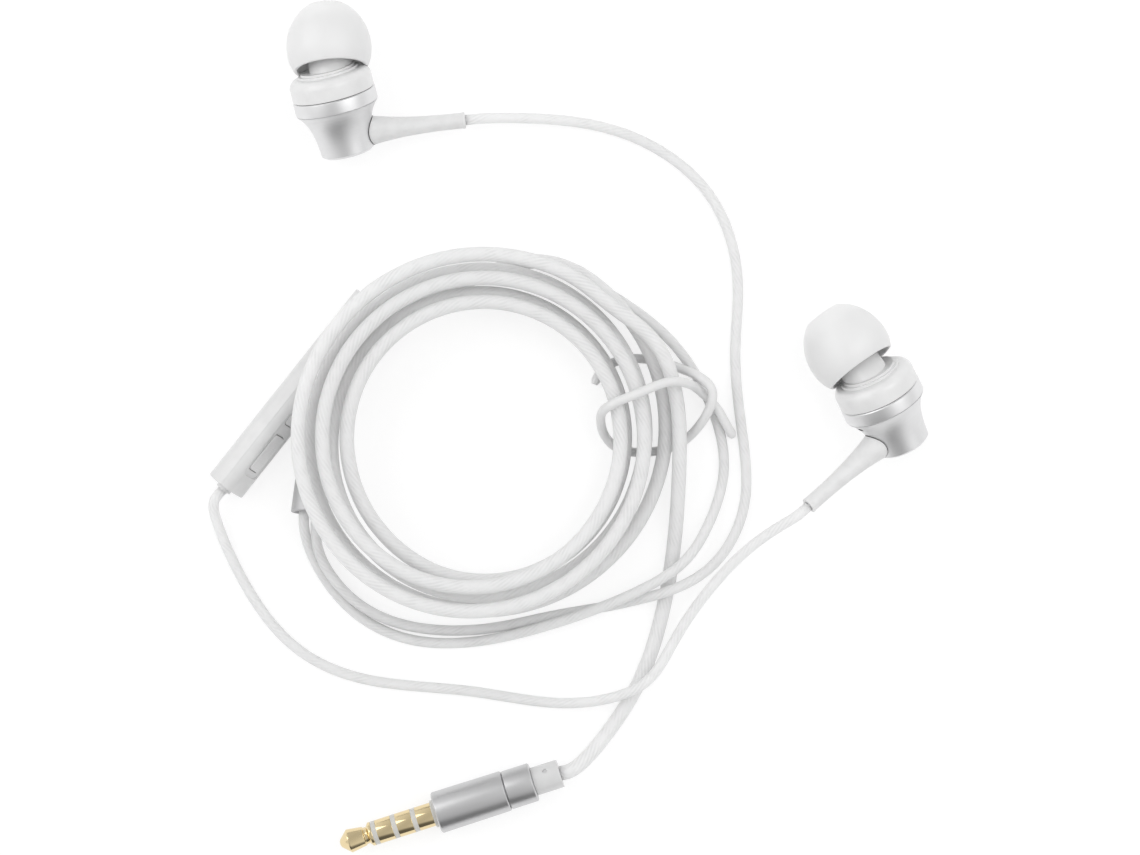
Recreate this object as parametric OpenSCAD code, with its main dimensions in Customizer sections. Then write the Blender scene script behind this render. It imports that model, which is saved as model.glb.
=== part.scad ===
// Wired in-ear earphones with an inline remote, a splitter and a four-pole plug.
// Millimetres. The earbuds stand on z = 0 on either side of the origin and the cord lies coiled between them.

/* [Earbud housing] */
// Radius of the metal band, the widest part of the housing
band_r = 6.0; // [5.0:0.1:7.4]
// Width of the metal band
band_w = 2.0; // [1.6:0.1:2.6]
// Bevel on both edges of the band
band_bevel = 0.15; // [0.05:0.05:0.25]
// Length of the bell behind the band
bell_len = 6.85; // [5.7:0.05:8.25]
// Radius of the bell at its closed back
bell_back_r = 3.75; // [3.2:0.05:4.2]
// Distance over which the bell draws in behind the band
bell_flare = 2.3; // [1.9:0.1:2.8]
// Wall of the bell and of the front cap
shell_wall = 0.7; // [0.5:0.05:0.85]
// Height of the front cap over the band
cap_h = 3.2; // [2.7:0.1:3.8]
// Rounding of the front cap's edge
cap_round = 1.4; // [1.1:0.1:1.7]

/* [Nozzle and ear tip] */
// Radius of the nozzle tube
nozzle_r = 2.45; // [2.1:0.05:2.9]
// Bore through the nozzle
nozzle_bore_r = 1.8; // [1.5:0.05:1.9]
// Length of the nozzle from the face of the cap
nozzle_len = 7.2; // [6.4:0.1:8.6]
// Lean of the nozzle from the axis of the housing, in degrees
nozzle_lean = 28.5; // [24:0.5:32]
// Height of the neck at the root of the nozzle
neck_h = 1.85; // [1.6:0.05:2.2]
// Largest radius of the ear tip
tip_r = 6.05; // [5.1:0.05:7.25]
// Length of the ear tip from its open edge to its mouth
tip_len = 9.3; // [8.4:0.1:11.2]
// Wall of the ear tip's dome
tip_wall = 0.45; // [0.35:0.05:0.55]

/* [Strain relief boot] */
// Radius of the boot where it meets the bell
boot_base_r = 2.15; // [1.8:0.05:2.4]
// Radius of the boot at its cord end
boot_end_r = 1.13; // [0.95:0.01:1.4]
// Reach of the boot from the axis of the bell to its cord end
boot_reach = 17.5; // [14.5:0.5:21]
// Lean of the boot away from the ear, in degrees
boot_lean = 7.5; // [5:0.5:9]

/* [Inline remote] */
// Length of the remote
remote_l = 34; // [30:0.5:41]
// Width of the remote
remote_w = 5.8; // [5.2:0.1:7]
// Thickness of the remote through its button face
remote_t = 4.5; // [4.2:0.1:5.4]
// Rounding of the remote's long edges
remote_round = 1.6; // [1.2:0.1:1.8]
// Wall of the remote's shells
remote_wall = 0.8; // [0.6:0.05:0.9]
// Length of the volume buttons
button_l = 6.2; // [5.2:0.1:6.4]
// Length of the centre button
centre_button_l = 9.0; // [7.5:0.1:9.4]
// Width of the buttons
button_w = 2.4; // [2.0:0.1:2.6]
// Travel of a button
button_travel = 0.25; // [0.15:0.01:0.25]

/* [Cords] */
// Diameter of the main cord
main_d = 2.1; // [1.75:0.05:2.15]
// Diameter of the cords from the splitter to the earbuds
branch_d = 1.5; // [1.25:0.05:1.55]
// Diameter of the plastic-coated tie
tie_d = 1.35; // [1.1:0.05:1.4]
// Radius at the middle of the coil's bundle of turns
coil_r = 22.75; // [22.7:0.05:22.8]
// Step from one turn to the next
coil_pitch = 3.38; // [3.38:0.01:3.42]
// Step from the lower layer of turns to the upper one
coil_rise = 2.85; // [2.85:0.05:2.95]

/* [Splitter] */
// Length of the splitter's metal tube
splitter_l = 11; // [9:0.5:13.5]
// Radius of the tube at the main cord
splitter_narrow_r = 1.6; // [1.45:0.05:1.7]
// Radius of the tube at the two thin cords
splitter_wide_r = 2.8; // [2.5:0.05:3.2]

/* [Plug] */
// Radius of the plug's pin
pin_r = 1.75; // [1.75]
// Length of the pin
pin_l = 14; // [14]
// Radius of the plug's barrel
barrel_r = 3.03; // [2.8:0.01:3.6]
// Length of the plug's barrel
barrel_l = 10.5; // [9.5:0.1:12.5]
// Length of the plug's end cap
end_cap_l = 4.1; // [3.5:0.1:5]
// Length of the plug's soft strain relief
relief_l = 4.0; // [3.4:0.1:5]

/* [Hidden] */
$fn = 64;

// Clearances
fit_gap = 0.05;
seat_gap = 0.02;
face_gap = 0.03;
overlap = 0.5;

// Where the earbuds stand: [plan position of the band, heading of the axis, turn of the boot about it,
// turn of the nozzle's lean from the boot, 1 for the left one and -1 for its mirror image,
// distance of the ear tip's open edge from the face of the cap]
left_bud = [[-38.8, 20.95], 103.5, -90, 74, 1, 0.35];
right_bud = [[39.5, -21.65], 117.7, 107.5, 91, -1, 1.45];

// Band, caps and spigots, heights measured along the axis from the back edge of the band
band_wall = 0.6;
bell_step = 0.07;
bell_front_r = band_r - bell_step;
bell_back_round = 0.35;
bell_back_wall = 0.8;
spigot_r = band_r - band_wall - fit_gap;
spigot_bore_r = spigot_r - 0.6;
bell_spigot_h = 0.8;
flange_h = 0.3;
cap_spigot_z = bell_spigot_h + flange_h + 2 * face_gap;
cap_r = band_r - 0.06;
cap_z = band_w + cap_h;
step_r = [cap_r - cap_round - 0.15, cap_r - cap_round - 0.6];
step_h = 0.3;
bell_edge_z = bell_len - bell_back_round;
bud_tilt = atan((band_r - bell_radius(bell_edge_z)) / bell_edge_z);
bud_height = band_r * cos(bud_tilt);

// Nozzle and ear tip, heights measured along the nozzle from the face of the cap
neck_r = nozzle_r + 0.7;
neck_root = 2.2;
nozzle_offset = 0.45;
nozzle_offset_turn = 72;
lip_r = nozzle_r + 0.3;
lip_h = 0.8;
tip_overhang = 2.0;
tip_wide_z = 0.32 * tip_len;
tip_bore_r = lip_r + fit_gap;
tip_stem_r = tip_bore_r + tip_wall;
tip_mouth_bore_r = nozzle_bore_r + 0.2;
tip_mouth_z = nozzle_len - left_bud[5] + 0.15;
tip_gap = 0.08;
tip_steps = 14;
screen_t = 0.15;
screen_r = nozzle_bore_r + 0.2;
foam_h = 1.2;

// Driver
cup_wall = 0.35;
cup_depth = 2.3;
cup_z = bell_spigot_h + face_gap - cup_depth;
cup_room = 0.28;
driver_cup_r = min(spigot_bore_r - 0.85, bell_radius(-cup_z) - shell_wall - cup_room);
magnet_r = driver_cup_r - cup_wall - 0.65;
magnet_h = 1.1;
plate_r = magnet_r + 0.1;
plate_h = 0.45;
coil_former_r = plate_r + 0.15;
coil_former_wall = 0.2;
membrane_t = 0.12;
board_r = 0.68 * driver_cup_r;
board_t = 0.35;
board_z = cup_z - face_gap - board_t;
wire_r = 0.18;
wire_gap = 0.7;

// Boot and vent, distances measured along the boot from the axis of the bell
boot_z = -0.57 * bell_len;
boot_neck_r = 0.7 * boot_base_r;
boot_inner_end = 3.0;
boot_flare_start = bell_back_r + 0.2;
boot_wide_start = boot_inner_end + 0.1;
boot_rim = 0.05;
boot_rim_l = 0.4;
boot_steps = 16;
vent_z = -0.95;
vent_w = 0.6;
vent_l = 1.6;

// Remote: [plan position, heading, turn of the button face away from straight up]
remote_place = [[-44.5, -20.0], 51.6, 60];
seam_h = remote_t / 2 - remote_wall - 0.35;
remote_floor = -remote_t / 2 + remote_wall;
remote_end_wall = 1.2;
remote_height = (remote_w / 2 - remote_round) * sin(remote_place[2])
    + (remote_t / 2 - remote_round) * cos(remote_place[2]) + remote_round + seat_gap;
button_web = 2.0;
button_gap = 0.12;
button_proud = 0.18;
button_flange = 0.35;
button_round = 0.5;
button_step = centre_button_l / 2 + button_web + button_l / 2;
recess_margin = 0.55;
recess_depth = 0.2;
remote_board_t = 0.4;
remote_board_z = remote_floor + 0.45;
remote_board_top = remote_board_z + remote_board_t;
switch_h = 0.45;
switch_w = 2.0;
switch_pin_r = 0.5;
switch_pin_h = 0.15;
plunger_r = 0.6;
plunger_z = remote_board_top + switch_h + switch_pin_h + button_travel + 0.03;
post_r = 0.5;
mic_r = 1.0;
mic_h = 0.62;
mic_x = -remote_l / 2 + 3.4;
mic_port_r = 0.35;
gland_r = branch_d / 2 + 0.4;
gland_proud = 0.6;
gland_flange_t = 0.5;

// Splitter: [plan position of its narrow end, heading of its wide end, tilt]
splitter_place = [[-42.8, -26.2], 269.5, 8];
splitter_wall = 0.5;
splitter_height = max(
    splitter_narrow_r * cos(splitter_place[2]),
    splitter_wide_r * cos(splitter_place[2]) - splitter_l * sin(splitter_place[2])) + seat_gap;
splitter_insert_l = 2.6;
splitter_recess = 0.3;
splitter_cord_y = branch_d / 2 + 0.1;

// Plug, distances measured from the cord end towards the tip of the pin
plug_place = [[-6.9, -74.6], 197.8];
cap_bevel = 0.2;
relief_r = main_d / 2 + 1.0;
relief_neck_r = relief_r - 0.7;
thread_bore_r = relief_neck_r - 0.2;
end_cap_r = barrel_r - 0.2;
barrel_z = relief_l + end_cap_l + 0.12;
barrel_bore_r = barrel_r - 0.65;
barrel_end_z = barrel_z + barrel_l;
thread_l = 2.4;
sleeve_root_r = pin_r - 0.25;
collar_r = pin_r + 0.25;
collar_l = 0.5;
collar_seat_l = 0.8;
pin_z = barrel_end_z + collar_l;
shank_r = 1.2;
sleeve_l = 2.35;
ring_l = 2.3;
insulator_l = 0.7;
sleeve_end_z = pin_z + sleeve_l;
second_ring_z = sleeve_end_z + insulator_l;
first_ring_z = second_ring_z + ring_l + insulator_l;
tip_base_z = first_ring_z + ring_l + insulator_l;
flange_r = barrel_bore_r - fit_gap;
plug_flange_z = barrel_end_z - collar_seat_l - 1.4;
plug_flange_t = 0.8;
rod_r = 0.45;
rod_back_z = plug_flange_z - 2.6;

// Cords: sides of a cord, and the straight piece at each of its ends
cord_sides = 8;
stub = 2.0;
coil_center = [-17.9, -26.15];
coil_start = 60;
coil_end = 45;
coil_turns = 5 + (coil_start - coil_end) / 360;
coil_mid_z = 5.2;
coil_slope = 0.1;
coil_high_side = 170;
coil_oval = 0.2;
coil_oval_side = 43;
coil_mid_turn = 1.25;
coil_climb = 0.4;
coil_climb_early = 0.07;
// On its tight side the lower turns close up, the middle one rides up between its neighbours, and the upper turns
// lie higher
coil_tight_side = 281;
coil_close = 0.38;
coil_tight_mid = 0.2;
coil_ride = 1.8;
coil_ride_turn = 1.46;
coil_tight_rise = 1.4;
// The upper turns lie nearer the coil's middle, most of all on one side
coil_shift = 0.38;
coil_shift_swing = 0.7;
coil_shift_side = 20;
coil_sides = 6;
coil_steps = 24;

// Routes of the free cords between the pieces that hold their ends
lead_route = [
    [-40.4, -21.8, 2.5], [-34, -14.2, 3.5], [-26, -6.8, 3.6], [-17, -2.5, 2.9], [-10.5, -1, 3.4]
];
tail_route = [
    [6.4, -12.4, 5.6], [9.3, -18.6, 4.9], [10.2, -25.6, 4.3], [10.1, -33, 3.3], [9.6, -41, 1.4],
    [8.2, -50, 1.1], [5, -60.5, 1.1], [0, -68.8, 1.3]
];
left_route = [
    [-41.6, -43, 2.5], [-37, -49.5, 1.9], [-29, -53.5, 1], [-18, -54, 0.8], [-8, -52.1, 0.8],
    [0.5, -50.6, 0.9], [4.3, -49.7, 1.6], [8.6, -48.4, 3.2], [15, -44.8, 2], [19.5, -37, 0.8],
    [19.7, -28, 0.8], [18.4, -15, 0.8], [18.7, -3, 0.8], [14.5, 9, 0.8], [4, 17, 0.8], [-8, 19.6, 1.6]
];
upper_route = [
    [-42.9, -43, 1.4], [-38, -50.4, 0.8], [-29.5, -55.3, 0.8], [-19, -55.8, 0.8], [-9, -53.5, 1.9],
    [-1.2, -50.8, 2.6], [9.4, -45.4, 3.6], [14, -39.8, 1.9], [16.7, -31.5, 0.8],
    [15.2, -22.5, 0.8], [9.5, -12.8, 0.8], [0, -5.4, 0.9], [-11, -0.4, 1.1], [-21, 0, 2], [-28.5, -2, 2.8]
];
lower_route = [
    [-56.6, -38, 1.9], [-53.5, -45.7, 0.8], [-46, -56, 0.8], [-35, -61.3, 0.8], [-20, -63, 0.8],
    [-6.5, -64.7, 1.2], [3, -62.9, 3.1], [6.8, -60, 3.3], [10.5, -53.8, 3.3], [17.4, -44.7, 5.2], [23.5, -39.4, 8.6]
];
tie_route = [
    [-2, -18.6, 1], [-0.6, -16.3, 0.8], [2.5, -15, 0.7], [7, -15.2, 0.9], [10.6, -16.4, 2],
    [13.3, -17.7, 3.6], [14.9, -19.6, 4.2], [14.5, -22.2, 3.6], [12.8, -25, 2], [10, -27.4, 0.8],
    [6, -28.4, 0.7], [2, -28.1, 0.9], [-0.4, -26.2, 2.6], [-1.1, -24.1, 4.9], [-0.8, -22.5, 7.4],
    [1, -21.3, 8.8], [4.4, -19.9, 8.6], [7.6, -18.6, 7.9], [9.9, -18.3, 7], [11.7, -18.7, 5.2],
    [13.1, -19.5, 2.9], [15.5, -21.9, 2.4], [16.8, -24, 1.9], [18.1, -26.2, 0.8]
];

// ---------------------------------------------------------------- placing

function turn_y(p, a) = [p.x * cos(a) + p.z * sin(a), p.y, p.z * cos(a) - p.x * sin(a)];

function turn_z(p, a) = [p.x * cos(a) - p.y * sin(a), p.x * sin(a) + p.y * cos(a), p.z];

function turn_x(p, a) = [p.x, p.y * cos(a) - p.z * sin(a), p.y * sin(a) + p.z * cos(a)];

function bud_point(bud, p) = [bud[0].x, bud[0].y, bud_height]
    + turn_z(turn_y(turn_z(p, bud[2]), 90 - bud_tilt), bud[1]);

function remote_point(p) = [remote_place[0].x, remote_place[0].y, remote_height]
    + turn_z(turn_x(p, remote_place[2]), remote_place[1]);

function splitter_point(p) = [splitter_place[0].x, splitter_place[0].y, splitter_height]
    + turn_z(turn_y(p, 90 - splitter_place[2]), splitter_place[1]);

function plug_point(p) = [plug_place[0].x, plug_place[0].y, barrel_r + seat_gap]
    + turn_z(turn_y(p, 90), plug_place[1]);

module place_bud(bud) {
    translate([bud[0].x, bud[0].y, bud_height])
        rotate([0, 0, bud[1]])
            rotate([0, 90 - bud_tilt, 0])
                rotate([0, 0, bud[2]])
                    children();
}

module on_nozzle(bud) {
    a = bud[4] * (bud[3] - nozzle_offset_turn);
    translate([nozzle_offset * cos(a), nozzle_offset * sin(a), cap_z])
        rotate([0, 0, bud[4] * bud[3]])
            rotate([0, nozzle_lean, 0])
                children();
}

module along_boot() {
    translate([0, 0, boot_z])
        rotate([0, 90 + boot_lean, 0])
            children();
}

module place_remote() {
    translate([remote_place[0].x, remote_place[0].y, remote_height])
        rotate([0, 0, remote_place[1]])
            rotate([remote_place[2], 0, 0])
                children();
}

module place_splitter() {
    translate([splitter_place[0].x, splitter_place[0].y, splitter_height])
        rotate([0, 0, splitter_place[1]])
            rotate([0, 90 - splitter_place[2], 0])
                children();
}

module place_plug() {
    translate([plug_place[0].x, plug_place[0].y, barrel_r + seat_gap])
        rotate([0, 0, plug_place[1]])
            rotate([0, 90, 0])
                children();
}

// ---------------------------------------------------------------- shapes

// A ring or tube about z between two heights
module tube(z, h, outer, inner) {
    translate([0, 0, z])
        difference() {
            cylinder(h = h, r = outer);
            translate([0, 0, -overlap])
                cylinder(h = h + 2 * overlap, r = inner);
        }
}

// A rod about z between two heights
module rod(z, h, r) {
    translate([0, 0, z])
        cylinder(h = h, r = r);
}

// A rectangle with round corners, about the origin
module round_rect(w, h, r) {
    square([w - 2 * r, h], center = true);
    square([w, h - 2 * r], center = true);
    for (x = [-1, 1], y = [-1, 1])
        translate([x * (w / 2 - r), y * (h / 2 - r)])
            circle(r = r);
}

// ---------------------------------------------------------------- earbud

// Outer radius of the bell at a distance behind the band
function bell_radius(d) = bell_back_r + (bell_front_r - bell_back_r) * exp(-d / bell_flare);

// Half outline of the bell, drawn in or grown by a distance
function bell_outline(grow) = [
    for (i = [0:12]) let (d = i / 12 * (bell_len - bell_back_round)) [bell_radius(d) + grow, -d]
];

module bell_solid(grow, back) {
    edge = bell_outline(grow);
    rotate_extrude()
        polygon(concat(
            [[0, 0]],
            edge,
            [[bell_back_r + grow - bell_back_round, -bell_len + back], [0, -bell_len + back]]));
}

module bell() {
    color("silver")
        difference() {
            union() {
                bell_solid(0, 0);
                rod(-0.01, bell_spigot_h + 0.01, spigot_r);
            }
            bell_solid(-shell_wall, bell_back_wall);
            rod(-overlap, bell_spigot_h + 2 * overlap, spigot_bore_r);
            along_boot()
                rod(0, boot_reach, boot_neck_r + face_gap);
            vent_slot(0);
        }
}

// The slot behind the band, shrunk by a gap for the mesh that fills it
module vent_slot(gap) {
    half = (vent_l - vent_w) / 2;
    translate([0, 0, vent_z])
        rotate([0, 90, 0])
            linear_extrude(band_r) {
                square([vent_w - 2 * gap, 2 * half], center = true);
                for (y = [-half, half])
                    translate([0, y])
                        circle(r = vent_w / 2 - gap);
            }
}

module vent_mesh() {
    outer = bell_radius(-vent_z) - 0.2;
    color("black")
        intersection() {
            vent_slot(face_gap);
            tube(-bell_len, bell_len, outer, outer - 0.35);
        }
}

module band() {
    color("lightgray")
        rotate_extrude()
            polygon([
                [band_r - band_wall, 0],
                [band_r - band_bevel, 0],
                [band_r, band_bevel],
                [band_r, band_w - band_bevel],
                [band_r - band_bevel, band_w],
                [band_r - band_wall, band_w]
            ]);
}

// The cap's outside in front of the band with its stepped face, grown by a distance
module cap_form(grow) {
    corner_z = cap_z - cap_round;
    corner = [
        for (a = [0:15:90])
            [cap_r - cap_round + (cap_round + grow) * cos(a), corner_z + (cap_round + grow) * sin(a)]
    ];
    rotate_extrude()
        polygon(concat(
            [[0, band_w + seat_gap], [cap_r + grow, band_w + seat_gap]], corner, [[0, cap_z + grow]]));
    for (i = [0:1])
        rod(corner_z, cap_round + (i + 1) * step_h + grow, step_r[i] + grow);
}

module front_cap(bud) {
    chamber_r = cap_r - cap_round - 0.2;
    color("white")
        difference() {
            union() {
                cap_form(0);
                rod(cap_spigot_z, band_w - cap_spigot_z + 0.1, spigot_r);
                on_nozzle(bud) {
                    rod(-neck_root, neck_h + neck_root, neck_r);
                    rod(0, nozzle_len, nozzle_r);
                    translate([0, 0, nozzle_len - lip_h])
                        cylinder(h = lip_h / 2, r1 = nozzle_r, r2 = lip_r);
                    rod(nozzle_len - lip_h / 2, lip_h / 2, lip_r);
                }
            }
            rod(0, band_w, spigot_bore_r);
            rod(0, cap_z - shell_wall, chamber_r);
            on_nozzle(bud) {
                rod(-cap_h, nozzle_len + cap_h + overlap, nozzle_bore_r);
                rod(nozzle_len - screen_t, overlap, screen_r + seat_gap);
            }
        }
}

module nozzle_screen(bud) {
    color("dimgray")
        on_nozzle(bud)
            translate([0, 0, nozzle_len - screen_t])
                linear_extrude(screen_t)
                    difference() {
                        circle(r = screen_r);
                        for (ring = [0:2], i = [0:max(0, 6 * ring - 1)])
                            rotate(i * 60 / max(1, ring))
                                translate([ring * screen_r / 3, 0])
                                    circle(r = screen_r / 11);
                    }
}

module nozzle_foam(bud) {
    color("gainsboro")
        on_nozzle(bud)
            rod(nozzle_len - screen_t - face_gap - foam_h, foam_h, nozzle_bore_r - seat_gap);
}

// Radius of the ear tip's outside at a height over its open edge
function tip_radius(z) = z < tip_wide_z
    ? tip_r * sqrt(1 - pow((tip_wide_z - z) / (2 * tip_wide_z), 2))
    : tip_r * sqrt(1 - 0.79 * pow((z - tip_wide_z) / (tip_len - tip_wide_z), 2));

// The skirt is cut to the cap, as the soft lip folds where it meets it
module ear_tip(bud) {
    outside = [for (i = [0:tip_steps]) let (z = i / tip_steps * tip_len) [tip_radius(z), z]];
    inside_top = tip_mouth_z - tip_wall;
    inside = [for (i = [tip_steps:-1:0]) let (z = i / tip_steps * inside_top) [tip_radius(z) - tip_wall, z]];
    color([0.93, 0.93, 0.93, 0.85])
        difference() {
            on_nozzle(bud)
                translate([0, 0, bud[5]])
                    rotate_extrude()
                        polygon(concat(
                            outside,
                            [
                                [tip_mouth_bore_r, tip_len], [tip_mouth_bore_r, tip_mouth_z],
                                [tip_bore_r, tip_mouth_z], [tip_bore_r, tip_overhang],
                                [tip_stem_r, tip_overhang], [tip_stem_r, inside_top]
                            ],
                            inside));
            cap_form(tip_gap);
        }
}

// Radius of the boot at a share of its length from the bell to its cord end
function boot_radius(u) = boot_end_r + (boot_base_r - boot_end_r) * pow(1 - u, 2.8);

module boot() {
    span = boot_reach - boot_flare_start;
    side = [for (i = [0:boot_steps]) let (u = i / boot_steps) [boot_radius(u), boot_flare_start + u * span]];
    color("whitesmoke")
        difference() {
            along_boot() {
                rotate_extrude()
                    polygon(concat(
                        [[0, boot_inner_end], [boot_neck_r, boot_inner_end]],
                        [[boot_neck_r, boot_wide_start], [boot_base_r, boot_wide_start]],
                        side,
                        [[0, boot_reach]]));
                rod(boot_reach - boot_rim_l, boot_rim_l, boot_end_r + boot_rim);
            }
            difference() {
                bell_solid(face_gap, -face_gap);
                along_boot()
                    rod(0, boot_reach, boot_neck_r);
            }
        }
}

module driver_frame() {
    color("goldenrod")
        difference() {
            union() {
                rod(cup_z, cup_depth, driver_cup_r);
                rod(bell_spigot_h + face_gap, flange_h, spigot_r);
            }
            rod(cup_z + cup_wall, cup_depth + overlap, driver_cup_r - cup_wall);
        }
}

module magnet() {
    color("darkgray")
        rod(cup_z + cup_wall, magnet_h, magnet_r);
}

module pole_plate() {
    color("lightsteelblue")
        rod(cup_z + cup_wall + magnet_h, plate_h, plate_r);
}

module voice_coil() {
    base = cup_z + cup_wall + 0.5;
    color("peru")
        tube(base, cap_spigot_z - face_gap - base, coil_former_r + coil_former_wall, coil_former_r);
}

// Height of the membrane over its rim at a radius: a dome inside the voice coil, half a roll outside it
function membrane_rise(r, dome_r, rim_r) = r < dome_r
    ? 0.7 * (1 - pow(r / dome_r, 2))
    : 0.35 * sin(180 * (r - dome_r) / (rim_r - dome_r));

module diaphragm() {
    dome_r = coil_former_r + coil_former_wall;
    rim_r = spigot_bore_r - fit_gap;
    radii = [for (i = [0:16]) i / 16 * rim_r];
    under = [for (r = radii) [r, membrane_rise(r, dome_r, rim_r)]];
    over = [for (i = [16:-1:0]) [radii[i], membrane_rise(radii[i], dome_r, rim_r) + membrane_t]];
    color("lightyellow")
        translate([0, 0, cap_spigot_z - face_gap])
            rotate_extrude()
                polygon(concat(under, over));
}

module driver_board() {
    color("darkgreen")
        difference() {
            rod(board_z, board_t, board_r);
            translate([-board_r - 1, 0.45 * board_r, board_z - overlap])
                cube([2 * board_r + 2, board_r, board_t + 2 * overlap]);
        }
}

// Two insulated wires from the boot to the driver's board
module lead_wires() {
    start = turn_y([0, 0, boot_inner_end - 0.1], 90 + boot_lean) + [0, 0, boot_z];
    finish = [0.3 * board_r, 0, board_z - wire_r];
    run = finish - start;
    length = norm(run);
    color("firebrick")
        for (y = [-wire_gap, 0])
            translate(start + [0, y, 0])
                rotate([0, acos(run.z / length), atan2(run.y, run.x)])
                    cylinder(h = length, r = wire_r);
}

// ---------------------------------------------------------------- remote

module remote_outline() {
    rotate([90, 0, 90])
        translate([0, 0, -remote_l / 2])
            linear_extrude(remote_l)
                round_rect(remote_w, remote_t, remote_round);
}

module remote_hollow() {
    inner_l = remote_l - 2 * remote_end_wall;
    rotate([90, 0, 90])
        translate([0, 0, -inner_l / 2])
            linear_extrude(inner_l)
                round_rect(
                    remote_w - 2 * remote_wall, remote_t - 2 * remote_wall, remote_round - remote_wall);
}

// Everything above a height across the remote
module remote_above(z) {
    translate([-remote_l, -remote_w, z])
        cube([2 * remote_l, 2 * remote_w, remote_t]);
}

module gland_bore() {
    rotate([0, 90, 0])
        rod(-remote_l, 2 * remote_l, gland_r + seat_gap);
}

module remote_cover() {
    face = remote_t / 2;
    color("white")
        difference() {
            intersection() {
                remote_outline();
                remote_above(seam_h);
            }
            remote_hollow();
            gland_bore();
            for (i = [-1:1])
                translate([i * button_step, 0, 0])
                    linear_extrude(remote_t)
                        round_rect(
                            (i == 0 ? centre_button_l : button_l) + 2 * button_gap,
                            button_w + 2 * button_gap,
                            button_round + button_gap);
            translate([0, 0, face - recess_depth])
                linear_extrude(remote_t)
                    round_rect(
                        2 * button_step + button_l + 4 * recess_margin,
                        button_w + 2 * recess_margin + 2 * button_gap,
                        button_round + recess_margin);
        }
}

module remote_base() {
    color("white")
        difference() {
            union() {
                difference() {
                    remote_outline();
                    remote_above(seam_h - seat_gap);
                    remote_hollow();
                }
                for (x = [-1, 1], y = [-1, 1])
                    translate([x * (remote_l / 2 - 6), y * 1.2, remote_floor - 0.2])
                        rod(0, remote_board_z - remote_floor + 0.2, post_r);
            }
            gland_bore();
            translate([mic_x, 0, 0]) {
                rod(remote_floor - 0.3, overlap, mic_r + fit_gap);
                rod(-remote_t, remote_t, mic_port_r);
            }
        }
}

// A push button: cap, hidden flange and plunger
module push_button(x, l) {
    flange_top = remote_t / 2 - remote_wall - 0.05;
    color("white")
        translate([x, 0, 0]) {
            translate([0, 0, flange_top - 0.1])
                linear_extrude(remote_t / 2 + button_proud - recess_depth - flange_top + 0.1)
                    round_rect(l, button_w, button_round);
            translate([0, 0, flange_top - button_flange])
                linear_extrude(button_flange)
                    round_rect(l + 1.0, button_w + 0.5, button_round);
            rod(plunger_z, flange_top - plunger_z - 0.1, plunger_r);
        }
}

module remote_board() {
    color("darkgreen")
        translate([-remote_l / 2 + remote_end_wall + 1.4, -remote_w / 2 + remote_wall + 0.15, remote_board_z])
            cube([
                remote_l - 2 * remote_end_wall - 2.8, remote_w - 2 * remote_wall - 0.3, remote_board_t]);
}

module remote_switches() {
    color("gray")
        for (i = [-1:1])
            translate([i * button_step, 0, remote_board_top]) {
                translate([-switch_w / 2, -switch_w / 2, 0])
                    cube([switch_w, switch_w, switch_h]);
                rod(switch_h - 0.05, switch_pin_h + 0.05, switch_pin_r);
            }
}

module microphone() {
    color("gold")
        translate([mic_x, 0, remote_board_z - mic_h])
            rod(0, mic_h, mic_r);
}

module remote_glands() {
    color("white")
        for (end = [-1, 1])
            rotate([0, end * 90, 0]) {
                rod(remote_l / 2 - remote_end_wall - gland_flange_t, gland_flange_t + remote_end_wall + gland_proud,
                    gland_r);
                rod(remote_l / 2 - remote_end_wall - gland_flange_t - seat_gap, gland_flange_t, gland_r + 0.25);
            }
}

// ---------------------------------------------------------------- splitter

function splitter_radius(z) = splitter_narrow_r + (splitter_wide_r - splitter_narrow_r) * z / splitter_l;

module splitter_tube() {
    insert_z = splitter_l - splitter_recess - splitter_insert_l;
    color("silver")
        rotate_extrude()
            polygon([
                [main_d / 2 + fit_gap, 0],
                [splitter_narrow_r - 0.1, 0],
                [splitter_narrow_r, 0.1],
                [splitter_wide_r - 0.05, splitter_l - 0.15],
                [splitter_wide_r - 0.2, splitter_l],
                [splitter_wide_r - splitter_wall, splitter_l],
                [splitter_radius(insert_z) - splitter_wall, insert_z],
                [main_d / 2 + fit_gap, insert_z - 1]
            ]);
}

module splitter_insert() {
    insert_z = splitter_l - splitter_recess - splitter_insert_l;
    low_r = splitter_radius(insert_z) - splitter_wall - fit_gap;
    high_r = splitter_radius(insert_z + splitter_insert_l) - splitter_wall - fit_gap;
    color("white")
        translate([0, 0, insert_z])
            cylinder(h = splitter_insert_l, r1 = low_r, r2 = high_r);
}

module splitter_core() {
    insert_z = splitter_l - splitter_recess - splitter_insert_l;
    color("ivory")
        rod(0, insert_z, main_d / 2);
}

// ---------------------------------------------------------------- plug

module plug_relief() {
    color("white")
        union() {
            rotate_extrude()
                polygon([
                    [0, 0], [relief_r - cap_bevel, 0], [relief_r, cap_bevel], [relief_r, relief_l], [0, relief_l]
                ]);
            rod(relief_l - 0.1, end_cap_l, relief_neck_r);
        }
}

module plug_end_cap() {
    color("silver")
        difference() {
            union() {
                rotate_extrude()
                    polygon([
                        [0, relief_l + seat_gap],
                        [end_cap_r - cap_bevel, relief_l + seat_gap],
                        [end_cap_r, relief_l + cap_bevel],
                        [end_cap_r, relief_l + end_cap_l - 0.1],
                        [end_cap_r - 0.1, relief_l + end_cap_l],
                        [0, relief_l + end_cap_l]
                    ]);
                rod(relief_l + end_cap_l - 0.1, thread_l + 0.1, barrel_bore_r - fit_gap);
            }
            rod(relief_l - overlap, end_cap_l + overlap, relief_neck_r + seat_gap);
            rod(relief_l, end_cap_l + thread_l + overlap, thread_bore_r);
        }
}

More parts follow.
